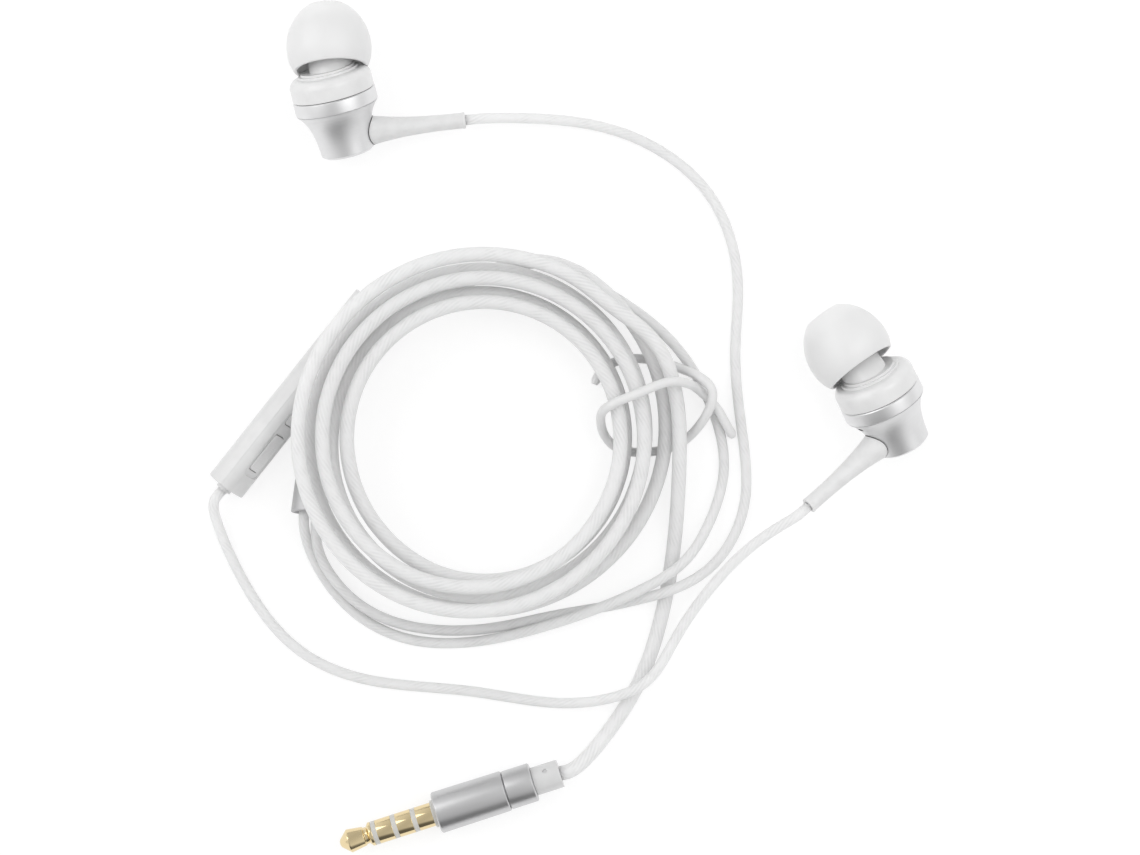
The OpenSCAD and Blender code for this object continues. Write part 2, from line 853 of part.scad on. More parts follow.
module plug_barrel() {
    color("silver")
        difference() {
            rotate_extrude()
                polygon([
                    [0, barrel_z],
                    [barrel_r - cap_bevel, barrel_z],
                    [barrel_r - 0.07, barrel_z + 0.15],
                    [barrel_r, barrel_end_z - cap_bevel],
                    [barrel_r - cap_bevel, barrel_end_z],
                    [0, barrel_end_z]
                ]);
            rod(barrel_z - overlap, barrel_l - collar_seat_l + overlap, barrel_bore_r);
            rod(barrel_z, barrel_l + overlap, collar_r + seat_gap);
        }
}

module plug_collar() {
    color("white")
        tube(barrel_end_z - collar_seat_l, collar_seat_l + collar_l, collar_r, sleeve_root_r + seat_gap);
}

module plug_sleeve() {
    color("gold")
        difference() {
            union() {
                rod(pin_z, sleeve_l, pin_r);
                rod(plug_flange_z, pin_z - plug_flange_z + 0.1, sleeve_root_r);
                rod(plug_flange_z, plug_flange_t, flange_r);
            }
            rod(plug_flange_z - overlap, pin_l + barrel_l, shank_r);
        }
}

module plug_insulators() {
    color("dimgray")
        for (z = [sleeve_end_z, second_ring_z + ring_l, first_ring_z + ring_l])
            tube(z, insulator_l, pin_r, shank_r);
}

module plug_second_ring() {
    color("gold")
        tube(second_ring_z, ring_l, pin_r, shank_r);
}

module plug_first_ring() {
    color("gold")
        tube(first_ring_z, ring_l, pin_r, shank_r);
}

module plug_tip() {
    nose = pin_z + pin_l;
    color("gold")
        rotate_extrude()
            polygon([
                [0, rod_back_z],
                [rod_r, rod_back_z],
                [rod_r, tip_base_z],
                [pin_r, tip_base_z],
                [pin_r, tip_base_z + 0.4],
                [0.7 * pin_r, tip_base_z + 0.8],
                [0.7 * pin_r, tip_base_z + 1.2],
                [0.8 * pin_r, nose - 3.6],
                [0.98 * pin_r, nose - 1.5],
                [0.98 * pin_r, nose - 1.3],
                [0.36 * pin_r, nose - 0.15],
                [0.2 * pin_r, nose],
                [0, nose]
            ]);
}

module plug_core() {
    color("ivory")
        tube(rod_back_z + 0.6, tip_base_z - rod_back_z - 0.6, shank_r - seat_gap, rod_r + seat_gap);
}

// ---------------------------------------------------------------- cords

function unit(v) = v / norm(v);

// Directions along a route: its segments at the ends, the mean of two segments between them
function headings(p) = [
    for (i = [0:len(p) - 1])
        i == 0 ? unit(p[1] - p[0])
        : i == len(p) - 1 ? unit(p[i] - p[i - 1])
        : unit(unit(p[i] - p[i - 1]) + unit(p[i + 1] - p[i]))
];

// Side directions carried along a route without twisting
function sides_along(d) = [
    for (i = 0, s = unit(cross(d[0], [0, 0, 1]));
        i < len(d);
        i = i + 1, s = i < len(d) ? unit(s - (s * d[i]) * d[i]) : s) s
];

// A tube of flat sides swept along a route
module cord(route, d, sides) {
    way = headings(route);
    side = sides_along(way);
    last = len(route) - 1;
    points = [
        for (i = [0:last], k = [0:sides - 1])
            let (a = 360 / sides * (k + 0.5))
                route[i] + d / 2 * (cos(a) * side[i] + sin(a) * cross(way[i], side[i]))
    ];
    walls = [
        for (i = [0:last - 1], k = [0:sides - 1])
            let (a = i * sides + k, b = i * sides + (k + 1) % sides)
                each [[a, b, a + sides], [b, b + sides, a + sides]]
    ];
    caps = [
        for (k = [1:sides - 2])
            each [[0, k + 1, k], [last * sides, last * sides + k, last * sides + k + 1]]
    ];
    polyhedron(points, concat(walls, caps));
}

function eased(x) = let (c = max(0, min(1, x))) c * c * (3 - 2 * c);

// Where the coil's cord is after a number of turns, clockwise from above, in one layer and out in the other
function coil_point(t) =
    let (
        a = coil_start - 360 * t,
        depth = min(t, coil_turns - t) - coil_mid_turn,
        climb = eased((t - coil_turns / 2 + coil_climb_early) / coil_climb),
        tight = pow((1 + cos(a - coil_tight_side)) / 2, 2),
        lower = coil_pitch * (1 - coil_close * tight) * (depth - coil_tight_mid * tight),
        upper = coil_pitch * depth + coil_shift + coil_shift_swing * cos(a - coil_shift_side),
        r = coil_r + coil_oval * cos(2 * (a - coil_oval_side)) - lower * (1 - climb) - upper * climb,
        ride = coil_ride * tight * (1 + cos(180 * (depth + coil_mid_turn - coil_ride_turn))) / 2,
        lift = ride * (1 - climb) + (coil_rise + coil_tight_rise * tight) * climb,
        z = coil_mid_z + coil_slope * r * cos(a - coil_high_side) + lift
    )
    [coil_center.x + r * cos(a), coil_center.y + r * sin(a), z];

coil_n = round(coil_turns * coil_steps);
coil_loops = [for (i = [0:coil_n]) coil_point(i / coil_n * coil_turns)];
coil_in = unit(coil_point(0.01) - coil_point(0));
coil_out = unit(coil_point(coil_turns) - coil_point(coil_turns - 0.01));
coil_first = coil_loops[0] - main_d * coil_in;
coil_last = coil_loops[coil_n] + main_d * coil_out;
coil_route = concat([coil_first], coil_loops, [coil_last]);
coil_gap = min([
    for (i = [0:coil_n], j = [i + coil_steps / 2:coil_n]) norm(coil_loops[i] - coil_loops[j])
]) - main_d;
echo(coil_gap = coil_gap);

// A route with its ends on two pieces, each end square to the piece it meets
function held_route(from, from_way, points, to, to_way) = concat(
    [from, from + stub * from_way], points, [to + stub * to_way, to]);

splitter_way = unit(splitter_point([0, 0, 1]) - splitter_point([0, 0, 0]));
splitter_face = splitter_l - splitter_recess;
remote_way = unit(remote_point([1, 0, 0]) - remote_point([0, 0, 0]));
gland_face = remote_l / 2 + gland_proud;
plug_way = unit(plug_point([0, 0, 1]) - plug_point([0, 0, 0]));

function boot_end(bud) = bud_point(bud, [0, 0, boot_z] + turn_y([0, 0, boot_reach], 90 + boot_lean));

function boot_way(bud) = unit(boot_end(bud) - bud_point(bud, [0, 0, boot_z]));

module main_cord_lead() {
    color("white")
        cord(held_route(
            splitter_point([0, 0, 0]), -splitter_way, lead_route, coil_first, -coil_in), main_d, cord_sides);
}

module main_cord_coil() {
    color("white")
        cord(coil_route, main_d, coil_sides);
}

module main_cord_tail() {
    color("white")
        cord(held_route(
            coil_last, coil_out, tail_route, plug_point([0, 0, 0]), -plug_way), main_d, cord_sides);
}

module left_branch_cord() {
    color("white")
        cord(held_route(
            splitter_point([0, splitter_cord_y, splitter_face]), splitter_way,
            left_route, boot_end(left_bud), boot_way(left_bud)), branch_d, cord_sides);
}

module right_branch_upper_cord() {
    color("white")
        cord(held_route(
            splitter_point([0, -splitter_cord_y, splitter_face]), splitter_way,
            upper_route, remote_point([gland_face, 0, 0]), remote_way), branch_d, cord_sides);
}

module right_branch_lower_cord() {
    color("white")
        cord(held_route(
            remote_point([-gland_face, 0, 0]), -remote_way,
            lower_route, boot_end(right_bud), boot_way(right_bud)), branch_d, cord_sides);
}

module cord_tie() {
    color("white")
        cord(tie_route, tie_d, cord_sides);
}

// ---------------------------------------------------------------- assembly

module bud_part(bud, part) {
    place_bud(bud) {
        if (part == "ear_tip") ear_tip(bud);
        if (part == "nozzle_screen") nozzle_screen(bud);
        if (part == "nozzle_foam") nozzle_foam(bud);
        if (part == "front_cap") front_cap(bud);
        if (part == "band") band();
        if (part == "bell") bell();
        if (part == "vent_mesh") vent_mesh();
        if (part == "boot") boot();
        if (part == "diaphragm") diaphragm();
        if (part == "voice_coil") voice_coil();
        if (part == "pole_plate") pole_plate();
        if (part == "magnet") magnet();
        if (part == "driver_frame") driver_frame();
        if (part == "driver_board") driver_board();
        if (part == "lead_wires") lead_wires();
    }
}

bud_parts = [
    "ear_tip", "nozzle_screen", "nozzle_foam", "front_cap", "band", "bell", "vent_mesh", "boot",
    "diaphragm", "voice_coil", "pole_plate", "magnet", "driver_frame", "driver_board", "lead_wires"
];
for (part = bud_parts) {
    bud_part(left_bud, part);
    bud_part(right_bud, part);
}
place_remote() remote_cover();
place_remote() remote_base();
place_remote() push_button(button_step, button_l);  // upper_button
place_remote() push_button(0, centre_button_l);  // centre_button
place_remote() push_button(-button_step, button_l);  // lower_button
place_remote() remote_board();
place_remote() remote_switches();
place_remote() microphone();
place_remote() remote_glands();
place_splitter() splitter_tube();
place_splitter() splitter_insert();
place_splitter() splitter_core();
place_plug() plug_tip();
place_plug() plug_first_ring();
place_plug() plug_second_ring();
place_plug() plug_sleeve();
place_plug() plug_insulators();
place_plug() plug_core();
place_plug() plug_collar();
place_plug() plug_barrel();
place_plug() plug_end_cap();
place_plug() plug_relief();
main_cord_lead();
main_cord_coil();
main_cord_tail();
left_branch_cord();
right_branch_upper_cord();
right_branch_lower_cord();
cord_tie();
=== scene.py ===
"""Wired in-ear earphones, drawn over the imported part: two metal-banded earbuds with silicone tips, an inline
remote, a splitter, a four-pole plug and the cords that join them. The main cord is wound into a tied coil."""

import math

import bmesh
import bpy
import numpy as np
from mathutils import Matrix, Vector


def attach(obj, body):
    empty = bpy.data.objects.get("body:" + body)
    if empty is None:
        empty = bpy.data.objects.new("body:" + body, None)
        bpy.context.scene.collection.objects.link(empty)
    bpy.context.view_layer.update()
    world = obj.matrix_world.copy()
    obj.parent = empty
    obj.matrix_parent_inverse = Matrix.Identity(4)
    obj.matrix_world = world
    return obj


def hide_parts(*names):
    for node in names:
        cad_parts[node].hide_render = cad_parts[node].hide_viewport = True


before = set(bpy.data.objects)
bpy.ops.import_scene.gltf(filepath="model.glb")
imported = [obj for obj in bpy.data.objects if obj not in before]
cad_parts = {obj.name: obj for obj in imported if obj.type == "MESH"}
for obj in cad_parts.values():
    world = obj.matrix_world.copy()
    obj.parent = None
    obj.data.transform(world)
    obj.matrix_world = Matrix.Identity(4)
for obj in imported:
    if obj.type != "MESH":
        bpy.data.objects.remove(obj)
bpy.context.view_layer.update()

# ---- camera
# A camera on a tall stand looks straight down on the earphones through a long lens. The left earbud's tip
# points to the top of the frame, and the plug lies near its lower edge.
MM = 0.001
SENSOR_WIDTH = 36
FOCAL_LENGTH = 90.63
CAMERA_AT = (-5.508, -24.858, 416)
camera_sheet = bpy.data.cameras.new("camera")
camera_sheet.sensor_width = SENSOR_WIDTH
camera_sheet.lens = FOCAL_LENGTH
camera_sheet.clip_start = 0.01
camera = bpy.data.objects.new("camera", camera_sheet)
camera.location = [c * MM for c in CAMERA_AT]
bpy.context.scene.collection.objects.link(camera)
bpy.context.scene.camera = camera


# ---- where the pieces lie
# The earbuds rest on their bands and the backs of their bells, the remote on a long edge, the splitter and
# the plug on their sides. Their cords leave them along their own axes.
BAND_R = 6.0
BELL_LEN = 6.85
BELL_FRONT_R = BAND_R - 0.07
BELL_BACK_R = 3.75
BELL_FLARE = 2.3
BELL_BACK_ROUND = 0.35


def bell_radius(distance):
    """Outer radius of a bell at a distance behind its band."""
    return BELL_BACK_R + (BELL_FRONT_R - BELL_BACK_R) * math.exp(-distance / BELL_FLARE)


bell_edge = BELL_LEN - BELL_BACK_ROUND
bud_tilt = math.degrees(math.atan((BAND_R - bell_radius(bell_edge)) / bell_edge))
bud_height = BAND_R * math.cos(math.radians(bud_tilt))


def round_point(radius, degrees):
    """A point on a circle about the origin."""
    return radius * math.cos(math.radians(degrees)), radius * math.sin(math.radians(degrees))


def moved(start, x, y, z, *turns):
    """A place that is moved from a start along the start's own axes, and then turned about its own."""
    place = start @ Matrix.Translation((x, y, z))
    for axis, degrees in turns:
        place = place @ Matrix.Rotation(math.radians(degrees), 4, axis)
    return place


def standing(*position_and_turns):
    """The place of a piece on the table, from its own millimetres to metres."""
    return Matrix.Scale(MM, 4) @ moved(Matrix.Identity(4), *position_and_turns)


LEFT = {"name": "left", "nozzle": 74, "side": 1, "tip": 0.35,
        "place": standing(-38.8, 20.95, bud_height, ("Z", 103.5), ("Y", 90 - bud_tilt), ("Z", -90))}
RIGHT = {"name": "right", "nozzle": 91, "side": -1, "tip": 1.45,
         "place": standing(39.5, -21.65, bud_height, ("Z", 117.7), ("Y", 90 - bud_tilt), ("Z", 107.5))}

BOOT_BACK = 0.57 * BELL_LEN
BOOT_LEAN = 7.5
BOOT_REACH = 17.5
along_boot = moved(Matrix.Identity(4), 0, 0, -BOOT_BACK, ("Y", 90 + BOOT_LEAN))

REMOTE_L = 34.0
REMOTE_W = 5.8
REMOTE_T = 4.5
REMOTE_ROUND = 1.6
REMOTE_TURN = 60
TABLE_GAP = 0.02
GLAND_OUT = 0.6
remote_cos, remote_sin = round_point(1, REMOTE_TURN)
remote_height = ((REMOTE_W / 2 - REMOTE_ROUND) * remote_sin + (REMOTE_T / 2 - REMOTE_ROUND) * remote_cos
                 + REMOTE_ROUND + TABLE_GAP)
remote_place = standing(-44.5, -20, remote_height, ("Z", 51.6), ("X", REMOTE_TURN))
gland_face = REMOTE_L / 2 + GLAND_OUT

SPLITTER_L = 11.0
SPLITTER_NARROW_R = 1.6
SPLITTER_WIDE_R = 2.8
SPLITTER_TILT = 8
FORK_INSET = 0.3
splitter_cos, splitter_sin = round_point(1, SPLITTER_TILT)
splitter_height = TABLE_GAP + max(
    SPLITTER_NARROW_R * splitter_cos, SPLITTER_WIDE_R * splitter_cos - SPLITTER_L * splitter_sin)
splitter_place = standing(-42.8, -26.2, splitter_height, ("Z", 269.5), ("Y", 90 - SPLITTER_TILT))
splitter_face = SPLITTER_L - FORK_INSET

BARREL_R = 3.03
plug_place = standing(-6.9, -74.6, BARREL_R + TABLE_GAP, ("Z", 197.8), ("Y", 90))

# ---- cords
# Each cord is a bundle of fine cores, laid up in a left-hand twist, in a soft clear-white jacket. The main
# one, 2.1 mm, runs from the splitter through the coil to the plug. The 1.5 mm ones go to the earbuds, the
# right one by way of the remote.
MAIN_D = 2.1
BRANCH_D = 1.5
CORD_STEP = 0.5
STUB = 2.0
SIDES = {MAIN_D: 20, BRANCH_D: 16}
CREASE = 35
CORES = {MAIN_D: 12, BRANCH_D: 9}
TWIST_LENGTH = {MAIN_D: 14.0, BRANCH_D: 10.0}


def held(place, point, way):
    """Where a cord meets a piece and the end of its first straight millimetres, in millimetres."""
    start = place @ Vector(point)
    heading = (place.to_3x3() @ Vector(way)).normalized()
    return [start / MM, start / MM + STUB * heading]


def smooth_line(points, step=CORD_STEP):
    """An evenly stepped line through the points without a kink: a cubic spline over root chord lengths."""
    p = np.array([tuple(q) for q in points], float)
    knots = np.concatenate([[0], np.cumsum(np.sqrt(np.linalg.norm(np.diff(p, axis=0), axis=1)))])
    h = np.diff(knots)
    n = len(p)
    system = np.eye(n)
    pull = np.zeros((n, 3))
    for i in range(1, n - 1):
        system[i, i - 1:i + 2] = h[i - 1], 2 * (h[i - 1] + h[i]), h[i]
        pull[i] = 6 * ((p[i + 1] - p[i]) / h[i] - (p[i] - p[i - 1]) / h[i - 1])
    bend = np.linalg.solve(system, pull)
    fine = np.linspace(0, knots[-1], 40 * n)
    i = np.clip(np.searchsorted(knots, fine) - 1, 0, n - 2)
    left, right, span = (knots[i + 1] - fine)[:, None], (fine - knots[i])[:, None], h[i][:, None]
    line = ((bend[i] * left ** 3 + bend[i + 1] * right ** 3) / (6 * span)
            + (p[i] / span - bend[i] * span / 6) * left + (p[i + 1] / span - bend[i + 1] * span / 6) * right)
    run = np.concatenate([[0], np.cumsum(np.linalg.norm(np.diff(line, axis=0), axis=1))])
    even = np.linspace(0, run[-1], round(run[-1] / step) + 1)
    return np.stack([np.interp(even, run, line[:, k]) for k in range(3)], 1), run[-1]


def finished(name, skin, crease=CREASE):
    """The object of a mesh that has its place in it, smooth but where it folds more than the crease."""
    mesh = bpy.data.meshes.new(name)
    skin.to_mesh(mesh)
    skin.free()
    mesh.shade_smooth()
    mesh.set_sharp_from_angle(angle=math.radians(crease))
    piece = bpy.data.objects.new(name, mesh)
    bpy.context.scene.collection.objects.link(piece)
    return piece


def tube(name, line, radii, sides):
    """A grid rolled round a line and closed at its ends. Its map runs once round and along it in metres."""
    way = np.gradient(line, axis=0)
    way /= np.linalg.norm(way, axis=1)[:, None]
    side = np.zeros_like(line)
    side[0] = np.cross(way[0], (0, 0, 1))
    for i in range(len(line)):
        side[i] = side[max(0, i - 1)] - (side[max(0, i - 1)] @ way[i]) * way[i]
        side[i] /= np.linalg.norm(side[i])
    over = np.cross(way, side)
    run = np.concatenate([[0], np.cumsum(np.linalg.norm(np.diff(line, axis=0), axis=1))])
    skin = bmesh.new()
    chart = skin.loops.layers.uv.new("round_and_along")
    bmesh.ops.create_grid(skin, x_segments=len(line) - 1, y_segments=sides, size=0.5, calc_uvs=True)
    for face in skin.faces:
        for corner in face.loops:
            along, around = corner[chart].uv
            corner[chart].uv = around, run[round(along * (len(line) - 1))] * MM
    for vert in skin.verts:
        i = round((vert.co.x + 0.5) * (len(line) - 1))
        turn = 2 * math.pi * (vert.co.y + 0.5)
        vert.co = (line[i] + radii[i] * (math.cos(turn) * side[i] + math.sin(turn) * over[i])) * MM
    bmesh.ops.remove_doubles(skin, verts=skin.verts, dist=1e-7)
    bmesh.ops.holes_fill(skin, edges=[e for e in skin.edges if e.is_boundary], sides=sides)
    bmesh.ops.recalc_face_normals(skin, faces=skin.faces)
    return finished(name, skin)


class Wire:
    """A value in a node tree. Arithmetic on it adds the Math nodes that a pattern needs."""

    def __init__(self, nodes, socket):
        self.nodes = nodes
        self.socket = socket

    def math(self, operation, *values):
        return self.nodes.add("ShaderNodeMath", {"operation": operation}, dict(enumerate(values)))

    def __add__(self, other):
        return self.math("ADD", self, other)

    def __sub__(self, other):
        return self.math("SUBTRACT", self, other)

    def __rsub__(self, other):
        return self.math("SUBTRACT", other, self)

    def __mul__(self, other):
        return self.math("MULTIPLY", self, other)

    def __pow__(self, other):
        return self.math("POWER", self, other)

    __radd__ = __add__
    __rmul__ = __mul__

    def sine(self):
        return self.math("SINE", self)

    def above(self, low, high, least=0.0, most=1.0):
        """The least below the low value, the most above the high one, and a smooth step between them."""
        return self.nodes.add("ShaderNodeMapRange", {"interpolation_type": "SMOOTHSTEP"}, {
            "Value": self, "From Min": low, "From Max": high, "To Min": least, "To Max": most})


class Nodes:
    """The node tree of a finish or of the room. add() puts in one node."""

    def __init__(self, tree):
        self.tree = tree

    def add(self, kind, settings, sockets, output=0):
        """One node: its type, the settings made first, and the value or link of each socket."""
        node = self.tree.nodes.new(kind)
        for key, value in settings.items():
            setattr(node, key, value)
        self.connect(node, sockets)
        return Wire(self, node.outputs[output])

    def connect(self, node, sockets):
        for key, value in sockets.items():
            if isinstance(value, Wire):
                self.tree.links.new(value.socket, node.inputs[key])
            else:
                node.inputs[key].default_value = value

    def axes(self, vector):
        split = self.add("ShaderNodeSeparateXYZ", {}, {"Vector": vector}).socket.node
        return [Wire(self, output) for output in split.outputs]


class Finish(Nodes):
    """A material and its shader, whose sockets settle() gives."""

    def __init__(self, name):
        self.material = bpy.data.materials.new(name)
        self.material.use_nodes = True
        super().__init__(self.material.node_tree)

    def settle(self, **sockets):
        """The shader's own sockets, named with underscores for spaces, as in Base_Color."""
        self.connect(self.tree.nodes["Principled BSDF"],
                     {key.replace("_", " "): value for key, value in sockets.items()})
        return self

    def spot(self, place=None):
        """Object coordinates, or the coordinates along a place's own axes, in metres."""
        spot = self.add("ShaderNodeTexCoord", {}, {}, "Object")
        if place is None:
            return spot
        back = place.to_3x3().normalized().transposed()
        return self.add("ShaderNodeMapping", {"vector_type": "POINT"}, {
            "Vector": spot, "Location": back @ -place.translation, "Rotation": back.to_euler()})

    def cloud(self, size, detail=2.0, spot=None):
        """Soft patches of a size in millimetres, from 0 to 1."""
        return self.add("ShaderNodeTexNoise", {}, {
            "Vector": spot or self.spot(), "Scale": 1 / (size * MM), "Detail": detail})

    def blend(self, amount, first, second):
        """The first colour where the amount is 0, and the second where it is 1."""
        return self.add("ShaderNodeMix", {"data_type": "RGBA"}, {0: amount, 6: first, 7: second}, 2)

    def relief(self, height, depth):
        """The normal of a surface that a height raises by a depth in millimetres."""
        return self.add("ShaderNodeBump", {}, {"Height": height, "Distance": depth * MM})


def grey(level):
    return level, level, level, 1


def darker(color, share):
    """The colour with its light at a share of what it was."""
    return tuple(share * c for c in color[:3]) + (1,)


def coat(finish, *pieces):
    """The finish on pieces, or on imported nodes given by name."""
    for piece in pieces:
        piece = bpy.data.objects[piece] if isinstance(piece, str) else piece
        piece.data.materials.clear()
        piece.data.materials.append(finish.material)


def fitted(piece, finish, *nodes, body="earphones"):
    """A finished piece on its body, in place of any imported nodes."""
    coat(finish, piece)
    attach(piece, body)
    if nodes:
        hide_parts(*nodes)


def soft_light(weight, depth):
    """Light that goes into a surface and comes out again up to a depth in millimetres away."""
    return {"Subsurface_Weight": weight, "Subsurface_Radius": (1, 1, 1), "Subsurface_Scale": depth * MM}


def cord_jacket(name, diameter):
    finish = Finish(name)
    chart = finish.add("ShaderNodeUVMap", {"uv_map": "round_and_along"}, {})
    around, along, _ = finish.axes(chart)
    cores = CORES[diameter]
    lay = (around * cores + along * (cores / (TWIST_LENGTH[diameter] * MM))) * (2 * math.pi)
    streak = lay.sine() * 0.5 + 0.5
    patches = finish.cloud(2.2)
    worn = streak * patches.above(0.35, 0.7)
    return finish.settle(
        Base_Color=finish.blend(worn, grey(0.77), grey(0.69)),
        Roughness=patches * 0.16 + 0.36,
        Specular_IOR_Level=0.3,
        Normal=finish.relief(streak + patches * 0.6, 0.015),
        **soft_light(1.0, 4.0))


COIL_R = 22.75
COIL_OVAL = 0.2
COIL_OVAL_SIDE = 43
COIL_PITCH = 3.38
COIL_CENTER = (-17.9, -26.15)
COIL_START = 60
COIL_END = 45
COIL_TURNS = 5 + (COIL_START - COIL_END) / 360
COIL_STEPS = 24
COIL_MID_TURN = 1.25
COIL_MID_Z = 5.2
COIL_SLOPE = 0.1
COIL_HIGH_SIDE = 170
COIL_CLIMB = 0.4
COIL_CLIMB_EARLY = 0.07
TIGHT_SIDE = 281
TIGHT_CLOSE = 0.38
TIGHT_MID = 0.2
TIGHT_RIDE = 1.8
TIGHT_RIDE_TURN = 1.46
TIGHT_RISE = 1.4
UPPER_RISE = 2.85
UPPER_SHIFT = 0.38
UPPER_SWING = 0.7
UPPER_SWING_SIDE = 20


def eased(x):
    x = max(0, min(1, x))
    return x * x * (3 - 2 * x)


def coil_point(t):
    """Where the wound cord is after t turns, clockwise from above: inwards in its lower layer, and outwards
    in its upper. Near the plug's side the lower turns close up, and the middle one rides up between them."""
    degrees = COIL_START - 360 * t

    def swing(side):
        return math.cos(math.radians(degrees - side))

    depth = min(t, COIL_TURNS - t) - COIL_MID_TURN
    climb = eased((t - COIL_TURNS / 2 + COIL_CLIMB_EARLY) / COIL_CLIMB)
    tight = ((1 + swing(TIGHT_SIDE)) / 2) ** 2
    lower = COIL_PITCH * (1 - TIGHT_CLOSE * tight) * (depth - TIGHT_MID * tight)
    upper = COIL_PITCH * depth + UPPER_SHIFT + UPPER_SWING * swing(UPPER_SWING_SIDE)
    oval = COIL_OVAL * math.cos(math.radians(2 * (degrees - COIL_OVAL_SIDE)))
    r = COIL_R + oval - lower * (1 - climb) - upper * climb
    ride = TIGHT_RIDE * tight * (1 + math.cos(math.pi * (depth + COIL_MID_TURN - TIGHT_RIDE_TURN))) / 2
    z = (COIL_MID_Z + COIL_SLOPE * r * swing(COIL_HIGH_SIDE)
         + ride * (1 - climb) + (UPPER_RISE + TIGHT_RISE * tight) * climb)
    x, y = round_point(r, degrees)
    return Vector((COIL_CENTER[0] + x, COIL_CENTER[1] + y, z))


coil_count = round(COIL_TURNS * COIL_STEPS)
coil_loops = [coil_point(i / coil_count * COIL_TURNS) for i in range(coil_count + 1)]
lead_route = [(-40.4, -21.8, 2.5), (-34, -14.2, 3.5), (-26, -6.8, 3.6), (-17, -2.5, 2.9), (-10.5, -1, 3.4)]
tail_route = [(6.4, -12.4, 5.6), (9.3, -18.6, 4.9), (10.2, -25.6, 4.3), (10.1, -33, 3.3), (9.6, -41, 1.4),
              (8.2, -50, 1.1), (5, -60.5, 1.1), (0, -68.8, 1.3)]
left_route = [(-41.6, -43, 2.5), (-37, -49.5, 1.9), (-29, -53.5, 1), (-18, -54, 0.8), (-8, -52.1, 0.8),
              (0.5, -50.6, 0.9), (4.3, -49.7, 1.6), (8.6, -48.4, 3.2), (15, -44.8, 2), (19.5, -37, 0.8),
              (19.7, -28, 0.8), (18.4, -15, 0.8), (18.7, -3, 0.8), (14.5, 9, 0.8), (4, 17, 0.8),
              (-8, 19.6, 1.6)]
upper_route = [(-42.9, -43, 1.4), (-38, -50.4, 0.8), (-29.5, -55.3, 0.8), (-19, -55.8, 0.8), (-9, -53.5, 1.9),
               (-1.2, -50.8, 2.6), (9.4, -45.4, 3.6), (14, -39.8, 1.9), (16.7, -31.5, 0.8),
               (15.2, -22.5, 0.8), (9.5, -12.8, 0.8), (0, -5.4, 0.9), (-11, -0.4, 1.1), (-21, 0, 2),
               (-28.5, -2, 2.8)]
lower_route = [(-56.6, -38, 1.9), (-53.5, -45.7, 0.8), (-46, -56, 0.8), (-35, -61.3, 0.8), (-20, -63, 0.8),
               (-6.5, -64.7, 1.2), (3, -62.9, 3.1), (6.8, -60, 3.3), (10.5, -53.8, 3.3), (17.4, -44.7, 5.2),
               (23.5, -39.4, 8.6)]

fork_y = BRANCH_D / 2 + 0.1
boot_exit = [0, 0, BOOT_REACH]
from_splitter = held(splitter_place, (0, 0, 0), (0, 0, -1))
to_plug = held(plug_place, (0, 0, 0), (0, 0, -1))
from_left_boot = held(LEFT["place"] @ along_boot, boot_exit, (0, 0, 1))
from_right_boot = held(RIGHT["place"] @ along_boot, boot_exit, (0, 0, 1))
from_left_fork = held(splitter_place, (0, fork_y, splitter_face), (0, 0, 1))
from_right_fork = held(splitter_place, (0, -fork_y, splitter_face), (0, 0, 1))
from_upper_gland = held(remote_place, (gland_face, 0, 0), (1, 0, 0))
from_lower_gland = held(remote_place, (-gland_face, 0, 0), (-1, 0, 0))

main_jacket = cord_jacket("main_cord_jacket", MAIN_D)
branch_jacket = cord_jacket("branch_cord_jacket", BRANCH_D)


def lay_cord(name, route, diameter, jacket, *nodes):
    """A cord along its route, in its jacket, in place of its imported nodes. It gives its facts as well."""
    line, length = smooth_line(route)
    cord = tube(name, line, np.full(len(line), diameter / 2), SIDES[diameter])
    fitted(cord, jacket, *nodes)
    return cord, {"exit": tuple(line[0] * MM), "length": length * MM, "diameter": diameter * MM,
                  "stiffness": "limp", "path": (line * MM).tolist()}


main_cord, main_cord_facts = lay_cord(
    "main_cord", [*from_splitter, *lead_route, *coil_loops, *tail_route, *to_plug[::-1]],
    MAIN_D, main_jacket, "main_cord_lead", "main_cord_coil", "main_cord_tail")
for name, route, node in (
        ("left_branch_cord_run", [*from_left_boot, *left_route[::-1], *from_left_fork[::-1]],
         "left_branch_cord"),
        ("right_branch_upper_cord_run", [*from_upper_gland, *upper_route[::-1], *from_right_fork[::-1]],
         "right_branch_upper_cord"),
        ("right_branch_lower_cord_run", [*from_right_boot, *lower_route[::-1], *from_lower_gland[::-1]],
         "right_branch_lower_cord")):
    branch, facts = lay_cord(name, route, BRANCH_D, branch_jacket, node)

# ---- tie
# A plastic-coated wire goes round the coil and the last of the main cord, and its two ends are twisted
# together on the outside. Both ends are rounded off.
TIE_D = 1.35
tie_route = [(-2, -18.6, 1), (-0.6, -16.3, 0.8), (2.5, -15, 0.7), (7, -15.2, 0.9), (10.6, -16.4, 2),
             (13.3, -17.7, 3.6), (14.9, -19.6, 4.2), (14.5, -22.2, 3.6), (12.8, -25, 2), (10, -27.4, 0.8),
             (6, -28.4, 0.7), (2, -28.1, 0.9), (-0.4, -26.2, 2.6), (-1.1, -24.1, 4.9), (-0.8, -22.5, 7.4),
             (1, -21.3, 8.8), (4.4, -19.9, 8.6), (7.6, -18.6, 7.9), (9.9, -18.3, 7), (11.7, -18.7, 5.2),
             (13.1, -19.5, 2.9), (15.5, -21.9, 2.4), (16.8, -24, 1.9), (18.1, -26.2, 0.8)]


